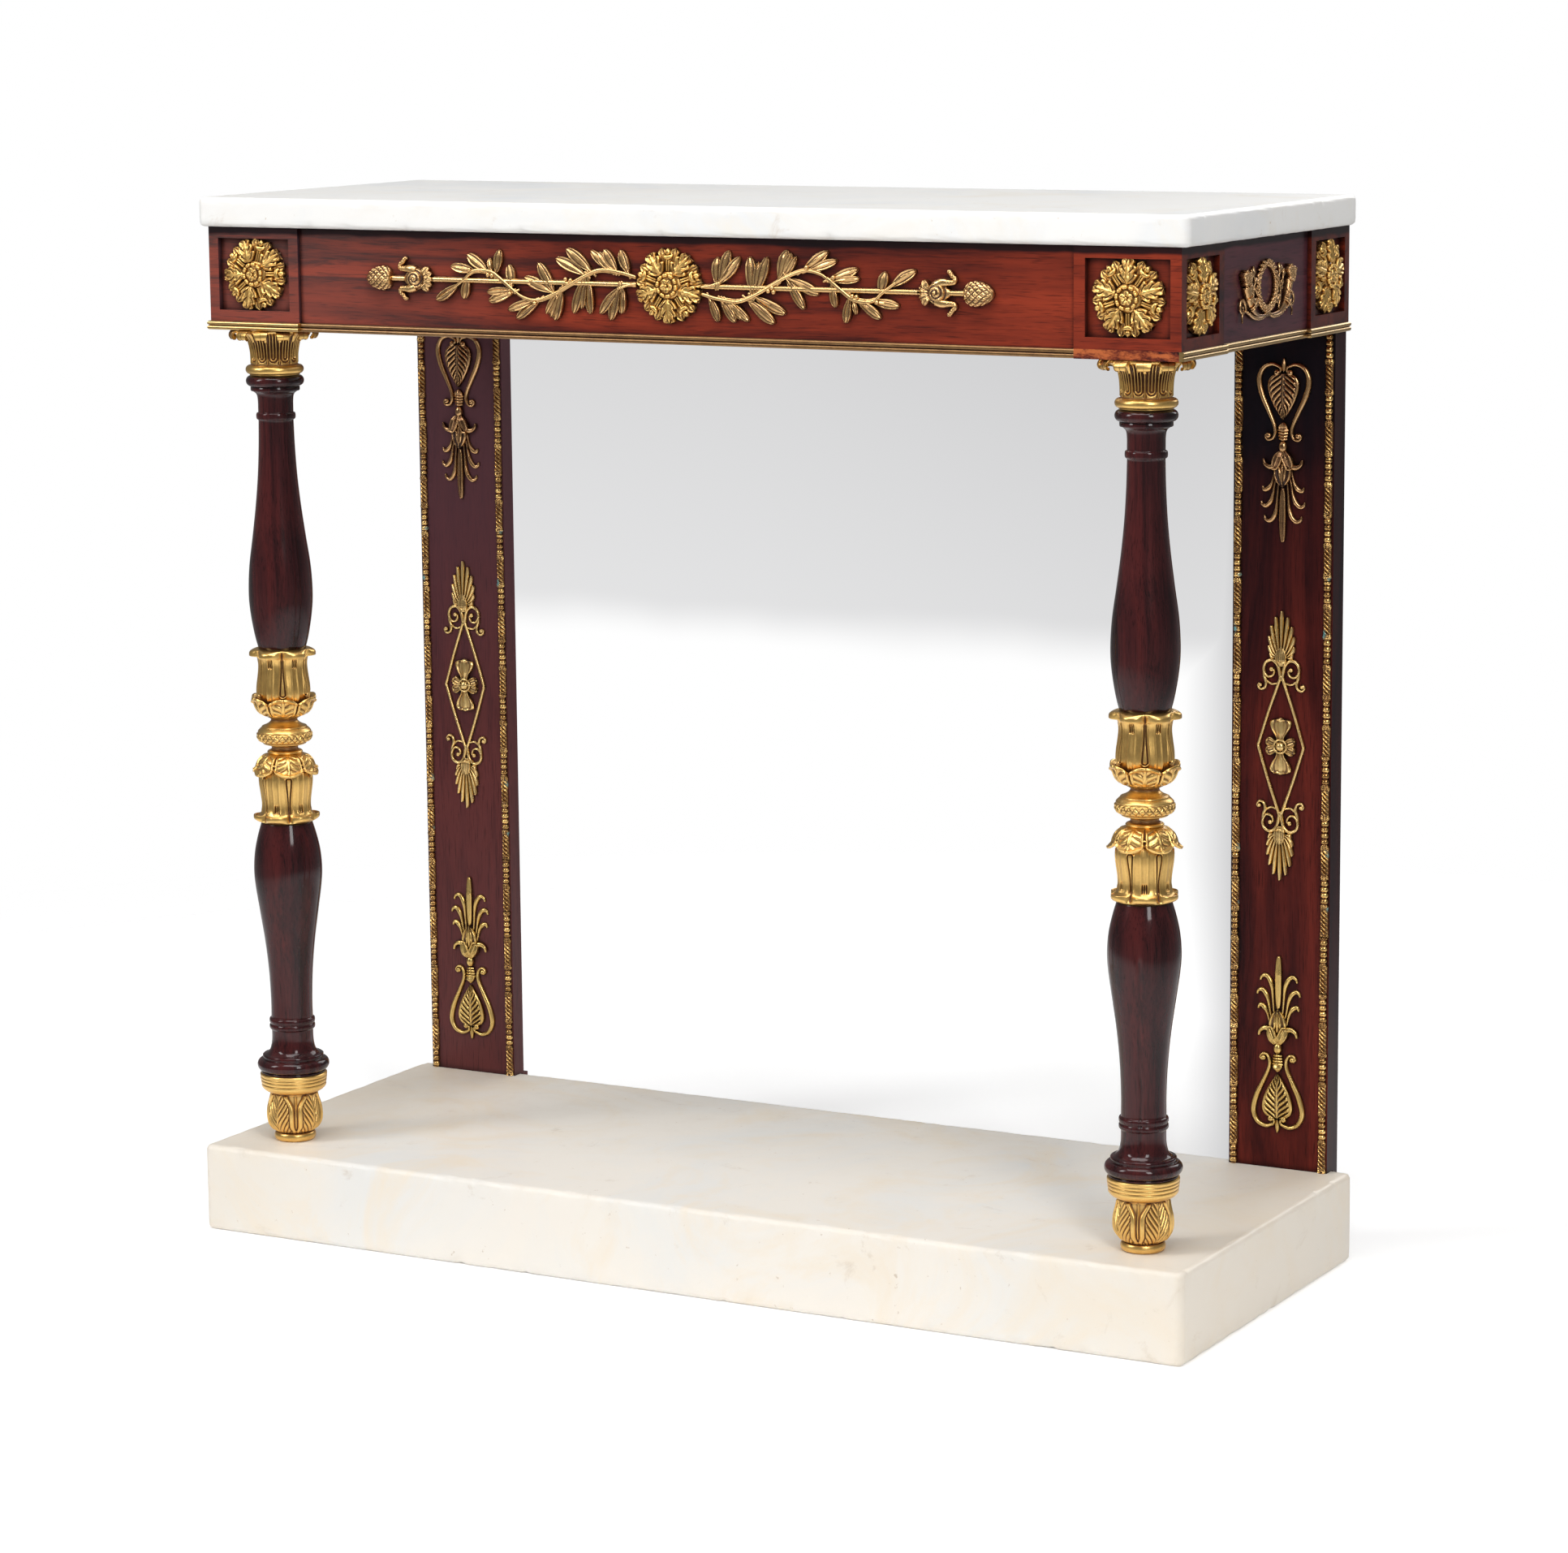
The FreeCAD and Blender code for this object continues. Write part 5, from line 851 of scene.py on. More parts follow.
# ---------------- marble
def slab(half_length, y_range, z_range, radius, wear, seed):
    """A marble slab with softened edges, small chips along them and faintly uneven faces."""
    dice = np.random.default_rng(seed)
    cast = Cast()
    y_low, y_high = y_range
    z_low, z_high = z_range
    corner = radius + 2.0
    turn = np.linspace(0, pi / 2, 7)[:-1]
    reach = half_length - corner
    centres = ((reach, y_high - corner), (-reach, y_high - corner),
            (-reach, y_low + corner), (reach, y_low + corner))
    outline = [(x + corner * cos(angle), y + corner * sin(angle))
            for quarter, (x, y) in enumerate(centres) for angle in turn + quarter * pi / 2]
    ring = even(outline + outline[:1], 1400)[:-1]
    out = np.roll(ring, -1, 0) - np.roll(ring, 1, 0)
    out = np.stack([out[:, 1], -out[:, 0]], 1)
    out /= np.linalg.norm(out, axis=1)[:, None]
    travel = np.arange(len(ring)) * np.linalg.norm(ring[1] - ring[0])
    arc = np.linspace(0, pi / 2, 8)
    rows = [(-radius - 1.7, z_low, 0.0), (-radius - 0.8, z_low, 0.2)]
    rows += [(-radius + radius * sin(a), z_low + radius - radius * cos(a), 1.0) for a in arc]
    for part in np.linspace(0.1, 0.9, 7):
        rows.append((0.0, z_low + radius + part * (z_high - z_low - 2 * radius), 0.15))
    rows += [(-radius + radius * cos(a), z_high - radius + radius * sin(a), 1.0) for a in arc]
    rows += [(-radius - 0.8, z_high, 0.2), (-radius - 1.7, z_high, 0.0)]
    grid = np.zeros((len(rows), len(ring), 3))
    total = travel[-1]
    chips = [(dice.uniform(0, total), dice.choice([z_low, z_high]), dice.uniform(1.2, 4.5),
            dice.uniform(0.5, 1.6)) for _ in range(46)]
    for row, (inset, z, edge) in enumerate(rows):
        unevenness = np.sin(travel / 23 + z) * np.sin(travel / 57 + 2) + 0.5 * np.sin(travel / 6.1 + z)
        cut = edge * wear * 0.35 * np.abs(unevenness)
        for place, level, size, depth in chips:
            gap = np.abs(travel - place)
            gap = np.minimum(gap, total - gap)
            cut = cut + edge * wear * depth * ridge(gap, size) * ridge(z - level, radius * 1.1)
        grid[row, :, :2] = ring + out * (inset - cut[:, None])
        grid[row, :, 2] = z + np.where(z > (z_low + z_high) / 2, -1, 1) * cut * 0.7 * edge
    cast.sheet(grid)
    return cast


# ---------------- materials
class Graph:
    """The node tree of one material or world."""

    def __init__(self, name, blocks=bpy.data.materials, out="OutputMaterial"):
        self.block = blocks.new(name)
        self.block.use_nodes = True
        self.tree = self.block.node_tree
        self.tree.nodes.clear()
        self.out = self.add(out)

    def add(self, kind, settings=None, **inputs):
        """A node with its settings and its inputs: values or sockets, by name, or by number after an i."""
        node = self.tree.nodes.new("ShaderNode" + kind)
        for key, value in (settings or {}).items():
            setattr(node, key, value)
        for key, value in inputs.items():
            numbered = key[0] == "i" and key[1:].isdigit()
            self.feed(node.inputs[int(key[1:]) if numbered else key.replace("_", " ")], value)
        return node

    def feed(self, socket, value):
        if isinstance(value, bpy.types.NodeSocket):
            self.tree.links.new(value, socket)
        else:
            socket.default_value = value

    def place(self, scale=(1, 1, 1)):
        """Object coordinates in metres, stretched."""
        return self.add("Mapping", Vector=self.add("TexCoord").outputs["Object"], Scale=scale).outputs[0]

    def spot(self, kind="Object"):
        """X, Y and Z of the object coordinates, or of another kind such as Normal."""
        return self.add("SeparateXYZ", Vector=self.add("TexCoord").outputs[kind]).outputs

    def noise(self, vector, scale, detail, rough, distort=0.0):
        return self.add("TexNoise", Vector=vector, Scale=scale, Detail=detail, Roughness=rough,
                Distortion=distort).outputs["Fac"]

    def ramp(self, value, *stops):
        node = self.add("ValToRGB", Fac=value)
        line = node.color_ramp
        while len(line.elements) < len(stops):
            line.elements.new(0.5)
        for element, (place, colour) in zip(line.elements, stops):
            element.position = place
            element.color = (*colour, 1) if isinstance(colour, tuple) else (colour, colour, colour, 1)
        return node.outputs[0]

    def mix(self, amount, first, second, mode="MIX"):
        node = self.add("Mix", {"data_type": "RGBA", "blend_type": mode})
        for number, value in ((0, amount), (6, first), (7, second)):
            self.feed(node.inputs[number], (*value, 1) if isinstance(value, tuple) else value)
        return node.outputs[2]

    def ease(self, value, low, high):
        """0 at low and 1 at high, eased between."""
        if low > high:
            return self.math("SUBTRACT", 1.0, self.ease(value, high, low))
        return self.add("MapRange", {"interpolation_type": "SMOOTHSTEP"}, Value=value, From_Min=low,
                From_Max=high).outputs[0]

    def math(self, kind, first, second=0.0):
        return self.add("Math", {"operation": kind}, i0=first, i1=second).outputs[0]

    def times(self, first, second):
        return self.math("MULTIPLY", first, second)

    def plus(self, first, second):
        return self.math("ADD", first, second)

    def absolute(self, value):
        return self.math("ABSOLUTE", value)

    def bump(self, height, distance, strength=1.0):
        return self.add("Bump", Height=height, Distance=distance, Strength=strength).outputs[0]

    def finish(self, kind="BsdfPrincipled", **inputs):
        """Ends the tree in a shader and gives the material or world."""
        self.feed(self.out.inputs["Surface"], self.add(kind, **inputs).outputs[0])
        return self.block


def scaled(colour, factor):
    return tuple(min(1.0, value * factor) for value in colour)


def gilt(name, bright, deep, dark, rough, verdigris=0.0, groove_shade=0.6, flat=0.95):
    """Gilding over random worn patches: a painted highlight on the crests, and painted shade, reddish brown,
    in the grooves and recesses.
    """
    g = Graph(name)
    where = g.place()
    # The hollow attribute: how deep each point lies, with painted shade and highlight added on some pieces.
    depth = g.add("Attribute", {"attribute_name": "hollow"}).outputs["Fac"]
    groove = g.ease(depth, 0.02, 0.2)
    crest = g.ease(depth, -0.03, -0.3)
    # Ambient occlusion paints shade into the recesses.
    painted_occlusion_shade = g.add("AmbientOcclusion", {"samples": 6, "only_local": True}, Distance=0.005).outputs["AO"]
    patch = g.noise(where, 90, 6, 0.7)
    fine = g.noise(where, 700, 3, 0.6)
    # Tone of the gilding: painted shade from occlusion and grooves, painted highlight on the crests, and
    # random worn patches.
    relief_tone = g.plus(g.times(g.ease(painted_occlusion_shade, 0.25, 0.95), flat), g.times(crest, 1.35 - flat))
    relief_tone = g.math("SUBTRACT", relief_tone, g.times(groove, groove_shade))
    relief_tone = g.plus(relief_tone, g.times(g.math("SUBTRACT", patch, 0.5), 0.55))
    colour = g.ramp(relief_tone, (0.05, dark), (0.4, deep), (0.95, bright))
    colour = g.mix(g.ramp(fine, (0.35, 0.0), (0.75, 0.25)), colour, deep)
    metal = g.ramp(relief_tone, (0.1, 0.3), (0.4, 1.0))
    if verdigris:
        rust = g.ramp(g.noise(g.place((1, 1, 0.8)), 60, 4, 0.7), (0.4, 0.0), (0.56, 0.8))
        colour = g.mix(rust, colour, scaled(deep, 0.5))
        spots = g.ramp(g.noise(g.place((1, 1, 0.7)), 34, 2, 0.5), (verdigris, 0.0), (verdigris + 0.03, 1.0))
        colour = g.mix(spots, colour, (0.1, 0.27, 0.27))
        metal = g.times(metal, g.math("SUBTRACT", 1.0, spots))
    roughness = g.plus(g.times(patch, 0.2), g.plus(g.times(groove, 0.2), rough - 0.08))
    return g.finish(Base_Color=colour, Metallic=metal, Roughness=roughness, Coat_Weight=0.2,
            Coat_Roughness=0.12, Normal=g.bump(g.plus(g.times(fine, 0.5), patch), 0.0002, 0.3))


def wood(name, axis, light, mid, dark, rough, coat, gleam=0.22, shade=None, streaks=0.75):
    """Figured veneer with its grain along one axis, with painted shade in the corners and round the mounts.
    """
    g = Graph(name)
    long_way = {"x": (1, 14, 14), "y": (14, 1, 14), "z": (14, 14, 1)}[axis]
    drift = g.add("TexNoise", Vector=g.place(), Scale=3.0, Detail=2.0).outputs["Color"]
    wander = g.mix(0.22, g.place(long_way), drift, "ADD")
    figure = g.noise(wander, 1.3, 6, 0.66, 1.1)
    streak = g.noise(wander, 5.0, 9, 0.74, 0.6)
    glow = g.noise(g.place(), 5.5, 3, 0.6)
    pores = g.noise(g.place(tuple(v * (5 if v > 1 else 3) for v in long_way)), 16, 2, 0.5)
    colour = g.ramp(figure, (0.36, dark), (0.46, mid), (0.62, light))
    colour = g.mix(g.ramp(glow, (0.5, 0.0), (0.7, 0.35)), colour, scaled(light, 1.5))
    colour = g.mix(g.ramp(streak, (0.38, streaks), (0.48, 0.0)), colour, dark)
    colour = g.mix(g.ramp(pores, (0.3, 0.6), (0.44, 0.0)), colour, scaled(dark, 0.45))
    if shade:
        colour = shade(g, colour)
    # Ambient occlusion paints shade into the corners and round the mounts.
    corner = g.ease(g.add("AmbientOcclusion", {"samples": 8}, Distance=0.009).outputs["AO"], 0.88, 0.4)
    colour = g.mix(g.times(corner, 0.85), colour, scaled(dark, 0.25))
    height = g.plus(g.times(pores, 0.12), g.noise(g.place(), 9, 3, 0.5))
    return g.finish(Base_Color=colour, Roughness=g.plus(g.times(streak, 0.14), rough - 0.07),
            Coat_Weight=coat, Coat_Roughness=0.08, Specular_IOR_Level=gleam,
            Normal=g.bump(height, 0.0006, 0.3))


def marble(name, body, warm, grey, stain, yellowed=0.0):
    """Old marble: cloudy, with faint warm patches, short grey veins and specks."""
    g = Graph(name)
    where = g.place()
    cloud = g.noise(where, 3.2, 6, 0.62, 1.2)
    patch = g.noise(where, 7.5, 5, 0.6, 2.2)
    fleck = g.noise(where, 160, 3, 0.6)
    grime = g.noise(where, 26, 6, 0.7, 0.6)
    colour = g.ramp(cloud, (0.34, grey), (0.52, body), (0.7, body))
    colour = g.mix(g.ramp(patch, (0.5, 0.0), (0.72, 0.75)), colour, warm)
    colour = g.mix(g.ramp(grime, (0.62, 0.0), (0.78, 0.5)), colour, stain)
    colour = g.mix(g.ramp(fleck, (0.7, 0.0), (0.76, 0.5)), colour, stain)
    outward = g.absolute(g.add("SeparateXYZ", Vector=where).outputs["X"])
    ends = g.times(g.ease(g.plus(outward, g.times(patch, 0.3)), 0.4, 0.62), yellowed)
    colour = g.mix(ends, colour, warm)
    relief_tone = g.ramp(g.add("NewGeometry").outputs["Pointiness"], (0.5, 0.0), (0.62, 0.4))
    colour = g.mix(g.times(relief_tone, g.ramp(grime, (0.45, 0.0), (0.6, 1.0))), colour, stain)
    return g.finish(Base_Color=colour, Roughness=0.3, Specular_IOR_Level=0.25,
            Normal=g.bump(g.noise(where, 60, 4, 0.5), 0.0003, 0.25))


def shaded_top(g, colour):
    """Painted shadow of the frieze on the front face, growing towards the top, and painted shade on the side
    faces.
    """
    spot, way = g.spot(), g.spot("Normal")
    height = g.plus(spot["Z"], g.times(g.math("SUBTRACT", 0.405, spot["X"]), 1.2))
    wander = g.plus(height, g.times(g.noise(g.place(), 7, 2, 0.5), 0.16))
    front = g.times(g.ease(way["Y"], -0.3, -0.7), 0.96)
    # Painted shadow of the frieze on the front face.
    colour = g.mix(g.times(g.ease(wander, 0.56, 0.8), front), colour, (0.004, 0.004, 0.007))
    # Painted shade on the side faces.
    return g.mix(g.times(g.ease(g.absolute(way["X"]), 0.5, 0.9), 0.8), colour, (0.008, 0.005, 0.008))


def painted_sheen_top(g, colour):
    """A painted purple-grey reflected sheen, growing towards the frieze."""
    return g.mix(g.times(g.ease(g.spot()["Z"], 0.35, 0.7), 0.75), colour, (0.09, 0.038, 0.05))


# The slab's painted shadow darkens the frieze between these heights. Bare wood shows below and beyond the
# other places.
SLAB_SHADOW = (0.8715, 0.8745)
BARE_TOP, BARE_LEFT, BARE_BACK = 0.7972, 0.36, -0.1


def frieze_shade_and_wear(g, colour):
    """Painted shadow under the slab, a painted grey sheen towards the left end, painted shade and bluish
    reflection on the side faces, and bare orange wood along the foot of the right block, where a strip is
    lost.
    """
    spot = g.spot()
    turned = g.ease(g.absolute(g.spot("Normal")["X"]), 0.5, 0.9)
    # Painted grey sheen of reflected light, growing towards the left end.
    colour = g.mix(g.ease(spot["X"], -0.05, -0.4), colour, (0.0, 0.026, 0.027), "ADD")
    # Painted shade and bluish reflected sheen on the side faces.
    colour = g.mix(turned, colour, g.mix(1.0, colour, (0.5, 0.75, 1.15), "MULTIPLY"))
    wander = g.plus(spot["Z"], g.times(g.noise(g.place(), 30, 2, 0.5), 0.004))
    # Painted shadow of the slab along the top of the frieze.
    colour = g.mix(g.times(g.ease(wander, *SLAB_SHADOW), 0.93), colour, (0.008, 0.003, 0.005))
    inside = g.times(g.math("LESS_THAN", spot["Z"], BARE_TOP), g.math("GREATER_THAN", spot["X"], BARE_LEFT))
    inside = g.times(inside, g.math("LESS_THAN", spot["Y"], BARE_BACK))
    crumbs = g.noise(g.place((1, 1, 2.5)), 55, 5, 0.7)
    bare = g.ramp(crumbs, (0.4, (0.02, 0.006, 0.007)), (0.47, (0.17, 0.03, 0.015)), (0.58, (0.5, 0.13, 0.04)))
    return g.mix(inside, colour, bare)


GOLD = gilt("ormolu", (0.91, 0.585, 0.185), (0.52, 0.265, 0.075), (0.08, 0.028, 0.014), 0.31)
BRASS = gilt("old_gilding", (0.84, 0.54, 0.23), (0.34, 0.155, 0.058), (0.035, 0.012, 0.009), 0.26,
        groove_shade=0.85, flat=0.76)
YELLOW_BRASS = gilt("yellow_gilding", (0.93, 0.67, 0.28), (0.46, 0.26, 0.09), (0.035, 0.012, 0.009), 0.27,
        groove_shade=0.8, flat=0.93)
LYRE_BRASS = gilt("lyre_gilding", (0.8, 0.56, 0.19), (0.36, 0.2, 0.06), (0.03, 0.011, 0.008), 0.27,
        groove_shade=0.85, flat=0.88)
# A darker copy of the brass that paints the shade under the frieze on the hanging lyres; the side wreaths use
# it too.
SHADED_BRASS = gilt("shaded_gilding", (0.7, 0.42, 0.19), (0.16, 0.07, 0.035), (0.02, 0.008, 0.007), 0.24,
        groove_shade=0.85, flat=0.5)
STRIP_GOLD = gilt("strip_gilding", (1.0, 0.66, 0.24), (0.4, 0.17, 0.045), (0.03, 0.01, 0.007), 0.2, 0.64,
        0.85, 0.9)
REEDED = gilt("reeded_brass", (0.6, 0.4, 0.16), (0.22, 0.12, 0.05), (0.05, 0.022, 0.014), 0.3)
WORN_REEDED = gilt("worn_reeded_brass", (0.42, 0.25, 0.1), (0.12, 0.05, 0.025), (0.03, 0.012, 0.009), 0.36,
        flat=0.7)
ROSEWOOD = wood("rosewood_veneer", "x", (0.27, 0.034, 0.013), (0.16, 0.02, 0.009), (0.045, 0.008, 0.007),
        0.34, 0.15, shade=frieze_shade_and_wear)
SIDE_WOOD = wood("rosewood_side", "y", (0.21, 0.04, 0.034), (0.135, 0.029, 0.027), (0.062, 0.014, 0.015),
        0.36, 0.15, shade=frieze_shade_and_wear)
# The right board's copy of the upright wood, darker, with the frieze's painted shadow.
UPRIGHT_WOOD = wood("rosewood_upright", "z", (0.13, 0.018, 0.012), (0.055, 0.008, 0.007),
        (0.014, 0.003, 0.004), 0.34, 0.0, 0.1, shaded_top, 0.4)
# The left board's copy of the upright wood, greyer, with a painted reflected sheen towards the frieze.
SHEEN_PAINTED_WOOD = wood("hazy_rosewood", "z", (0.11, 0.027, 0.026), (0.095, 0.024, 0.025), (0.06, 0.017, 0.019),
        0.36, 0.1, 0.15, painted_sheen_top, 0.5)
TURNED_WOOD = wood("rosewood_turned", "z", (0.085, 0.014, 0.013), (0.043, 0.009, 0.01),
        (0.012, 0.004, 0.005), 0.26, 0.6, 0.05)
PINE = wood("old_pine", "x", (0.4, 0.24, 0.11), (0.28, 0.15, 0.07), (0.12, 0.06, 0.03), 0.6, 0.0)
WHITE_MARBLE = marble("white_marble", (0.93, 0.92, 0.895), (0.9, 0.86, 0.79), (0.85, 0.86, 0.865),
        (0.55, 0.42, 0.3))
IVORY_MARBLE = marble("ivory_marble", (0.88, 0.83, 0.755), (0.87, 0.77, 0.63), (0.82, 0.81, 0.78),
        (0.42, 0.3, 0.18), 0.5)
IRON = Graph("iron").finish(Base_Color=(0.05, 0.04, 0.035, 1), Metallic=1.0, Roughness=0.6)


# ---------------- placing the pieces
def wall_place(node, facing):
    """The matrix that lays a flat mount where its node is. Facing is front, right or left."""
    low, high = (Vector(corner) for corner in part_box(node))
    middle = (low + high) / 2
    if facing == "front":
        axes = ((1, 0, 0), (0, 0, 1), (0, -1, 0))
        origin = Vector((middle.x, high.y, middle.z))
    elif facing == "right":
        axes = ((0, 1, 0), (0, 0, 1), (1, 0, 0))
        origin = Vector((low.x, middle.y, middle.z))
    else:
        axes = ((0, -1, 0), (0, 0, 1), (-1, 0, 0))
        origin = Vector((high.x, middle.y, middle.z))
    turn = Matrix([Vector(axis) for axis in axes]).transposed().to_4x4()
    return Matrix.Translation(origin) @ turn


def stand(name, data, matrix):
    """A new object in the scene."""
    thing = bpy.data.objects.new(name, data)
    bpy.context.scene.collection.objects.link(thing)
    thing.matrix_world = matrix
    return thing


def put(name, mesh, matrix, node, material, slot="gilt_bronze"):
    """A piece in the place of its CAD node."""
    piece = stand(name, mesh, matrix)
    if not mesh.materials:
        mesh.materials.append(material)
    bpy.context.view_layer.update()
    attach(piece, "root")
    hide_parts(node)


def shift(x=0.0, y=0.0, z=0.0):
    """A move in millimetres."""
    return Matrix.Translation((x * MM, y * MM, z * MM))


def spin(degrees, axis="Z"):
    return Matrix.Rotation(radians(degrees), 4, axis)


def column_place(side, degrees):
    low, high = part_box(side + "_knop")
    return Matrix.Translation(((low[0] + high[0]) / 2, (low[1] + high[1]) / 2, 0)) @ spin(degrees)


# How far the castings of each column are turned, in degrees.
CASTING_TURNS = {
    "right": {"foot": 12.7, "knop": 12.7, "capital": 5.6, "upper_cup": -6, "lower_cup": 24},
    "left": {"foot": 37.0, "knop": 37.0, "capital": 2.0, "upper_cup": 3, "lower_cup": 11},
}
KNOP_FOOT, KNOP_TOP = 421, 453
CUP_SEATS = {"upper_cup": shift(z=KNOP_TOP), "lower_cup": shift(z=KNOP_FOOT) @ spin(180, "Y")}
casting_meshes = {name: cast.mesh(name) for name, cast in (
        ("foot", foot()), ("knop", knop()), ("capital", capital()),
        ("upper_cup", cup(False)), ("lower_cup", cup(True)))}
upper_shaft_mesh = upper_shaft().mesh("upper_shaft")
for side, casting_turns in CASTING_TURNS.items():
    shaft = lower_shaft()
    if side == "right":
        crack_in(shaft, radians(16), 150, 345, 0.9, 1.6)
    for part, mesh in (("lower_shaft", shaft.mesh(side + "_lower_shaft")), ("upper_shaft", upper_shaft_mesh)):
        put(f"{side}_turned_{part}", mesh, column_place(side, 0), f"{side}_{part}", TURNED_WOOD,
                "turned_rosewood")
    for part, turn in casting_turns.items():
        seat = column_place(side, turn) @ CUP_SEATS.get(part, Matrix.Identity(4))
        put(f"{side}_gilt_{part}", casting_meshes[part], seat, f"{side}_{part}", GOLD)

rosette_mesh = rosette().mesh("rosette")
for node, facing, turn in (("front_centre", "front", 36), ("front_right", "front", 0),
        ("front_left", "front", 20), ("right_front_side", "right", 8), ("right_rear_side", "right", 0),
        ("left_front_side", "left", 10), ("left_rear_side", "left", 30)):
    put(node + "_acanthus_rosette", rosette_mesh, wall_place(node + "_rosette", facing) @ spin(turn),
            node + "_rosette", GOLD)

ROD_END = 227.5
LYRE_TIP = 77
STRIP_LENGTH, STRIP_HALF = 713.5, 4.75
garland_mesh = garland().mesh("garland")
finial_mesh = finial().mesh("finial")
wreath_mesh = wreath().mesh("wreath")
lyre_mesh = lyre().mesh("lyre")
shaded_lyre_mesh = lyre_mesh.copy()
lozenge_mesh = lozenge().mesh("lozenge")
flower_mesh = flower().mesh("flower")
strip_meshes = [strip(STRIP_LENGTH, start).mesh("strip") for start in (4.0, 22.0)]
rail_place = wall_place("front_centre_rosette", "front")
for side, turn in (("right", spin(0)), ("left", spin(180))):
    put(side + "_olive_garland", garland_mesh, rail_place @ turn, side + "_garland", BRASS)
    put(side + "_cone_finial", finial_mesh, rail_place @ turn @ shift(ROD_END), side + "_pine_finial", BRASS)
for side in ("right", "left"):
    place = wall_place(side + "_side_wreath", side)
    place.translation.z = rail_place.translation.z
    put(side + "_laurel_wreath", wreath_mesh, place, side + "_side_wreath", SHADED_BRASS)
for side in ("right", "left"):
    for name, mesh, turn, node, material in (
            ("_hanging_lyre", shaded_lyre_mesh, shift(y=LYRE_TIP), "_upper_lyre_mount", SHADED_BRASS),
            ("_standing_lyre", lyre_mesh, spin(180) @ shift(y=LYRE_TIP), "_lower_lyre_mount", LYRE_BRASS),
            ("_palmette_lozenge", lozenge_mesh, spin(0), "_lozenge_mount", YELLOW_BRASS),
            ("_lozenge_blossom", flower_mesh, spin(0), "_lozenge_flower", YELLOW_BRASS)):
        put(side + name, mesh, wall_place(side + node, "front") @ turn, side + node, material)
    low, high = (Vector(corner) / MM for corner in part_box(side + "_bead_strips"))
    reach = (high.x - low.x) / 2 - STRIP_HALF
    for number, mesh in enumerate(strip_meshes):
        foot_end = shift(reach * (2 * number - 1), (low.z - high.z) / 2)
        row = "outer" if number == (side == "right") else "inner"
        put(f"{side}_{row}_strip", mesh, wall_place(side + "_bead_strips", "front") @ foot_end,
                side + "_bead_strips", STRIP_GOLD)

for part, name, radius, wear, seed, material, slot in (
        ("top", "marble_top", 4.0, 0.7, 3, WHITE_MARBLE, "white_marble"),
        ("plinth", "marble_plinth", 4.5, 0.8, 8, IVORY_MARBLE, "ivory_marble")):
    low, high = (np.array(corner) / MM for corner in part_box(name))
    marble_cast = slab(high[0], (low[1], high[1]), (low[2], high[2]), radius, wear, seed)
    put("worn_" + name, marble_cast.mesh(part), Matrix.Identity(4), name, material, slot)

for name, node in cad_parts.items():
    if "moulding" in name:
        finish = WORN_REEDED if "front" in name else REEDED
    elif "bolt" in name:
        finish = IRON
    elif name in ("back_rail", "cross_bearer"):
        finish = PINE
    elif "board" in name:
        finish = UPRIGHT_WOOD if name.startswith("right") else SHEEN_PAINTED_WOOD
    elif name in ("right_rail", "left_rail"):
        finish = SIDE_WOOD
    else:
        finish = ROSEWOOD
    node.data.materials.clear()
    node.data.materials.append(finish)
    if finish in (ROSEWOOD, SIDE_WOOD, UPRIGHT_WOOD, SHEEN_PAINTED_WOOD):
        soften = node.modifiers.new("soft_edges", "BEVEL")
        soften.width = 0.6 * MM
        soften.segments = 2
        soften.limit_method = "ANGLE"
        soften.angle_limit = radians(40)


# ---------------- studio
def floor_material():
    """White floor that fades out away from the table."""
    g = Graph("studio_floor")
    where = g.add("TexCoord").outputs["Object"]
    distance = g.add("VectorMath", {"operation": "LENGTH"}, i0=where).outputs["Value"]
    fade = g.ramp(g.math("DIVIDE", distance, 3.0), (0.32, 0.0), (0.62, 1.0))
    seen = g.add("LightPath").outputs["Is Camera Ray"]
    glow = g.add("Emission", Color=(1, 1, 1, 1), Strength=g.plus(0.1, g.times(seen, 0.2))).outputs[0]
    shown = g.add("BsdfDiffuse", Color=(0.93, 0.93, 0.93, 1)).outputs[0]
    shown = g.add("AddShader", i0=shown, i1=glow).outputs[0]
    return g.finish("MixShader", i0=fade, i1=shown, i2=g.add("BsdfTransparent").outputs[0])


FLOOR_SIZE = 8
bpy.ops.mesh.primitive_plane_add(size=FLOOR_SIZE, location=(0, 0, 0))
floor = bpy.context.object
floor.name = "studio_floor"
floor.data.materials.append(floor_material())


def shade_material():
    """A soft grey shade on the backdrop, seen from the front only."""
    g = Graph("backdrop_shade")
    spot = g.spot()
    edge = g.plus(spot["Y"], g.times(g.noise(g.place(), 5, 2, 0.5), 0.03))
    rightward = g.add("MapRange", Value=spot["X"], From_Min=-0.66, From_Max=0.38).outputs[0]
    depth = g.ramp(rightward, (0.2, 0.68), (0.5, 0.72), (0.85, 0.84), (1.0, 0.8))
    paling = g.add("MapRange", Value=spot["Y"], From_Max=0.28, To_Min=0.72, To_Max=1.0).outputs[0]
    margin = g.ramp(rightward, (0.9, 0.0), (0.945, 0.8), (1.0, 0.85))
    shade = g.math("MAXIMUM", g.times(g.times(g.ease(edge, -0.008, 0.04), depth), paling), margin)
    front = g.math("SUBTRACT", 1.0, g.add("NewGeometry").outputs["Backfacing"])
    return g.finish("MixShader", i0=g.times(shade, front), i1=g.add("BsdfTransparent").outputs[0],
            i2=g.add("Emission", Color=(0.55, 0.55, 0.56, 1)).outputs[0])


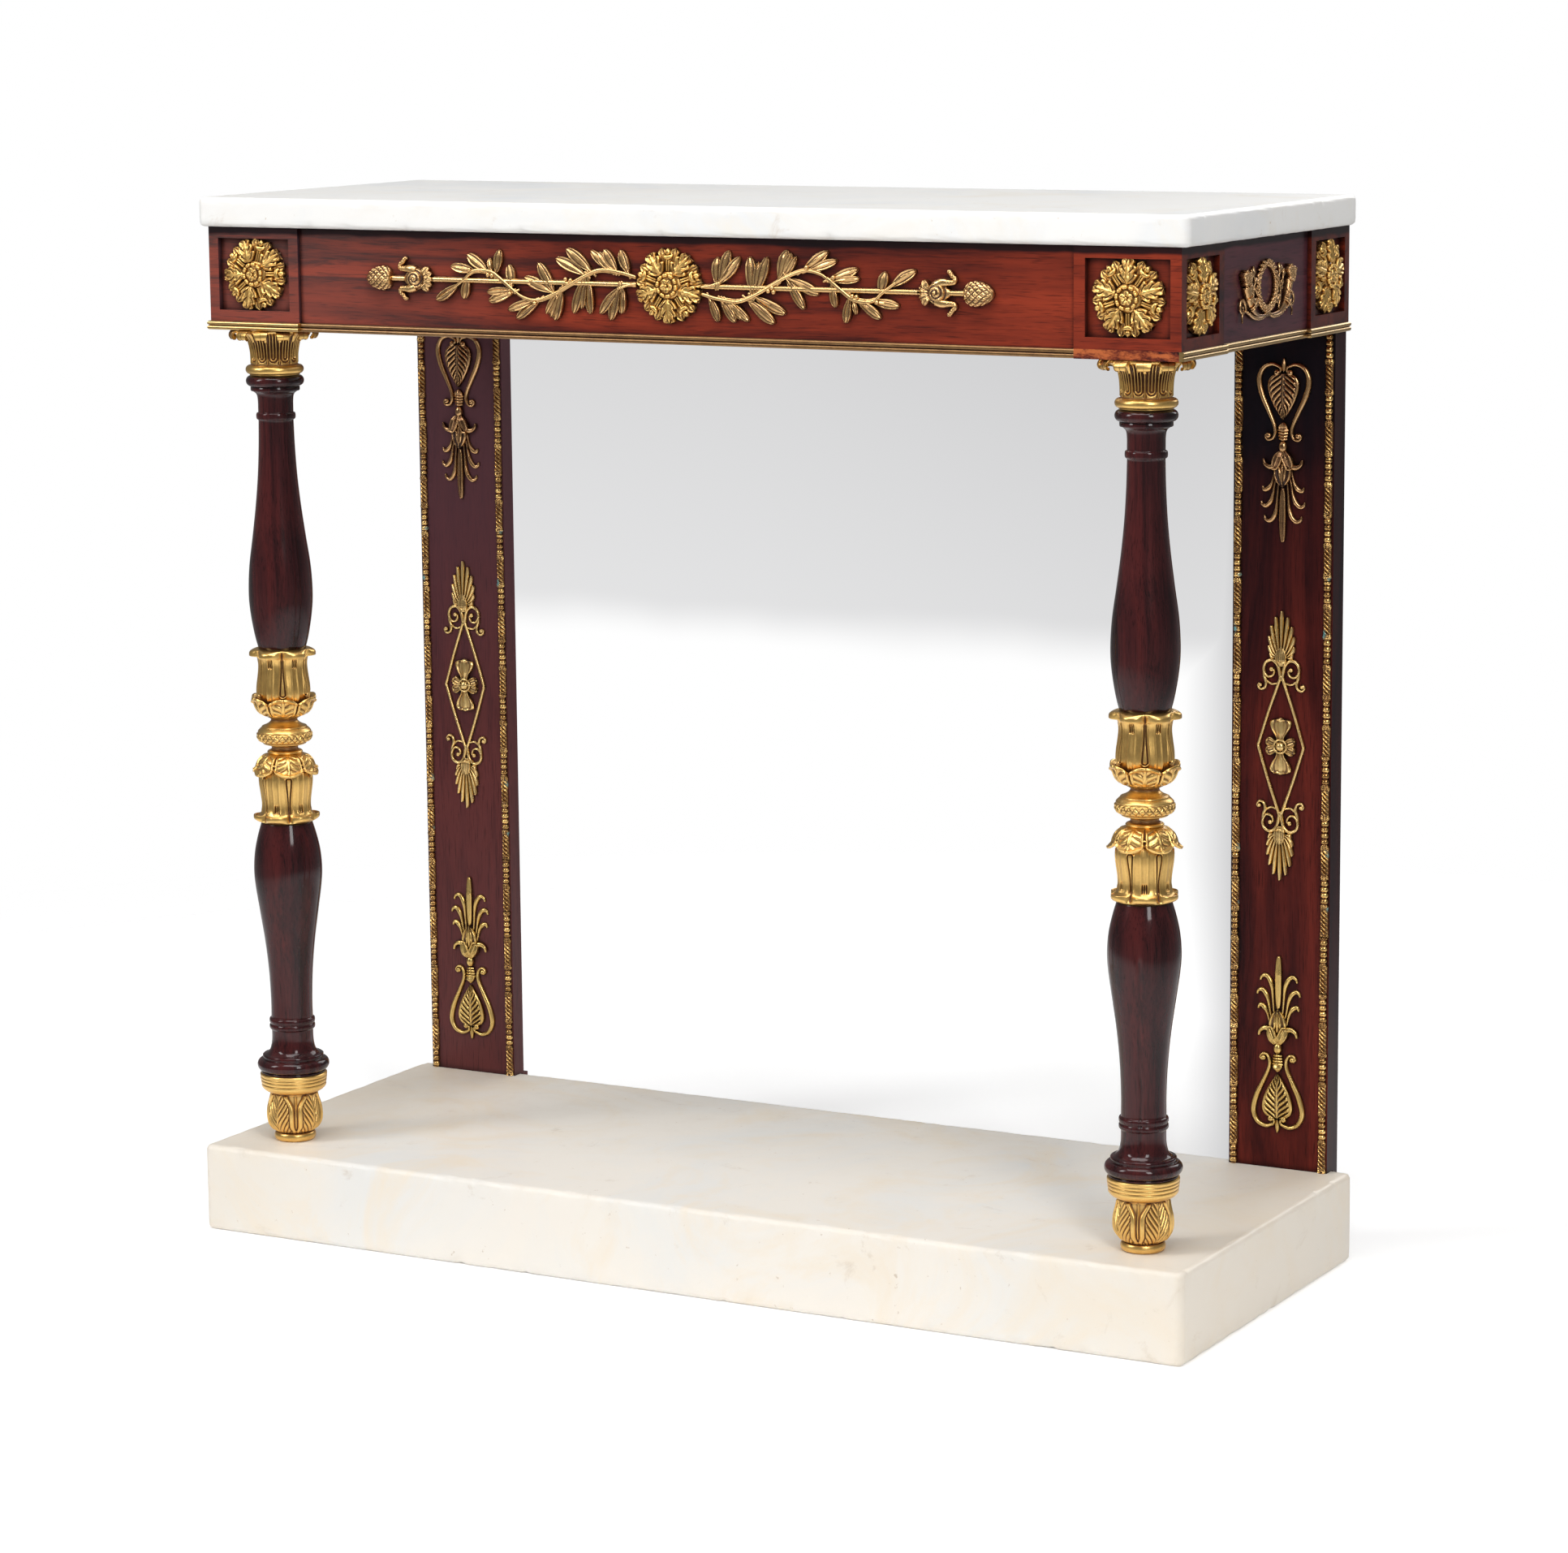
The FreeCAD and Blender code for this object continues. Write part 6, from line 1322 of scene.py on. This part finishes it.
# The sheet stands close behind the table's back, between the uprights.
SHADE_LEFT, SHADE_RIGHT, SHADE_FOOT, SHADE_TOP = -0.41, 0.342, -0.46, 0.295
SHADE_PLACE, SHADE_SCALE = (0.0336, 0.1855, 0.5103), 0.9824
shade_sheet = bpy.data.meshes.new("backdrop_shade")
shade_sheet.from_pydata([(SHADE_LEFT, SHADE_FOOT, 0), (SHADE_RIGHT, SHADE_FOOT, 0),
        (SHADE_RIGHT, SHADE_TOP, 0), (SHADE_LEFT, SHADE_TOP, 0)], [], [(0, 1, 2, 3)])
shade_sheet.materials.append(shade_material())
sheet_place = Matrix.Translation(SHADE_PLACE) @ spin(90, "X") @ Matrix.Scale(SHADE_SCALE, 4)
backdrop = stand("backdrop_shade", shade_sheet, sheet_place)
for kind in ("diffuse", "glossy", "transmission", "shadow", "volume_scatter"):
    setattr(backdrop, "visible_" + kind, False)


def sky(g, *stops):
    """A grey sky that changes with height, from straight down at 0 to straight up at 1."""
    height = g.add("MapRange", Value=g.spot("Generated")["Z"], From_Min=-1).outputs[0]
    return g.add("Background", Color=g.ramp(height, *stops)).outputs[0]


studio = Graph("studio", bpy.data.worlds, "OutputWorld")
rays = studio.add("LightPath").outputs
lit = sky(studio, (0.0, 0.75), (0.48, 0.3), (0.62, 0.22), (1.0, 0.3))
mirrored = sky(studio, (0.0, 0.38), (0.42, 0.26), (0.52, 0.17), (0.75, 0.17), (1.0, 0.45))
unseen = studio.add("MixShader", i0=rays["Is Glossy Ray"], i1=lit, i2=mirrored).outputs[0]
white = sky(studio, (0.0, 1.0), (1.0, 1.0))
bpy.context.scene.world = studio.finish("MixShader", i0=rays["Is Camera Ray"], i1=unseen, i2=white)

# Lamps: name, place, the point each faces, width and height in metres, and power in watts.
for name, place, target, width, height, power in (
        ("key_softbox", (-2.6, -2.8, 2.8), (0, 0, 0.55), 1.0, 2.0, 57),
        ("right_softbox", (2.4, -2.3, 2.3), (0, 0, 0.5), 0.8, 1.9, 43),
        ("top_softbox", (0.1, -1.0, 3.0), (0, -0.1, 0.5), 2.2, 1.2, 43),
        ("back_softbox", (0.4, 3.0, 2.2), (0, 0, 0.5), 2.4, 1.5, 36)):
    light = bpy.data.lights.new(name, "AREA")
    light.shape = "RECTANGLE"
    light.size = width
    light.size_y = height
    light.energy = power
    turn = (Vector(target) - Vector(place)).to_track_quat("-Z", "Y").to_matrix().to_4x4()
    stand(name, light, Matrix.Translation(place) @ turn)

# ---------------- camera
# The camera that fits the photo: its turn in degrees, its place in metres and its focal length in pixels.
YAW, PITCH, ROLL = (radians(angle) for angle in (28.6, 9.71, -0.52))
CAMERA_PLACE = (1.91099, -3.47593, 1.08866)
FOCAL_PIXELS, PHOTO_WIDTH, SENSOR_WIDTH = 5810.91, 1932, 36.0
ahead = Vector((-sin(YAW) * cos(PITCH), cos(YAW) * cos(PITCH), -sin(PITCH)))
level = Vector((cos(YAW), sin(YAW), 0))
right = cos(ROLL) * level + sin(ROLL) * level.cross(ahead)
view = bpy.data.cameras.new("main_view")
view.sensor_width = SENSOR_WIDTH
view.sensor_fit = "HORIZONTAL"
view.lens = FOCAL_PIXELS / PHOTO_WIDTH * SENSOR_WIDTH
view.clip_end = 50
facing = Matrix([right, right.cross(ahead), -ahead]).transposed().to_4x4()
bpy.context.scene.camera = stand("main_view", view, Matrix.Translation(CAMERA_PLACE) @ facing)
bpy.context.scene.view_settings.view_transform = "Standard"

bpy.context.view_layer.update()
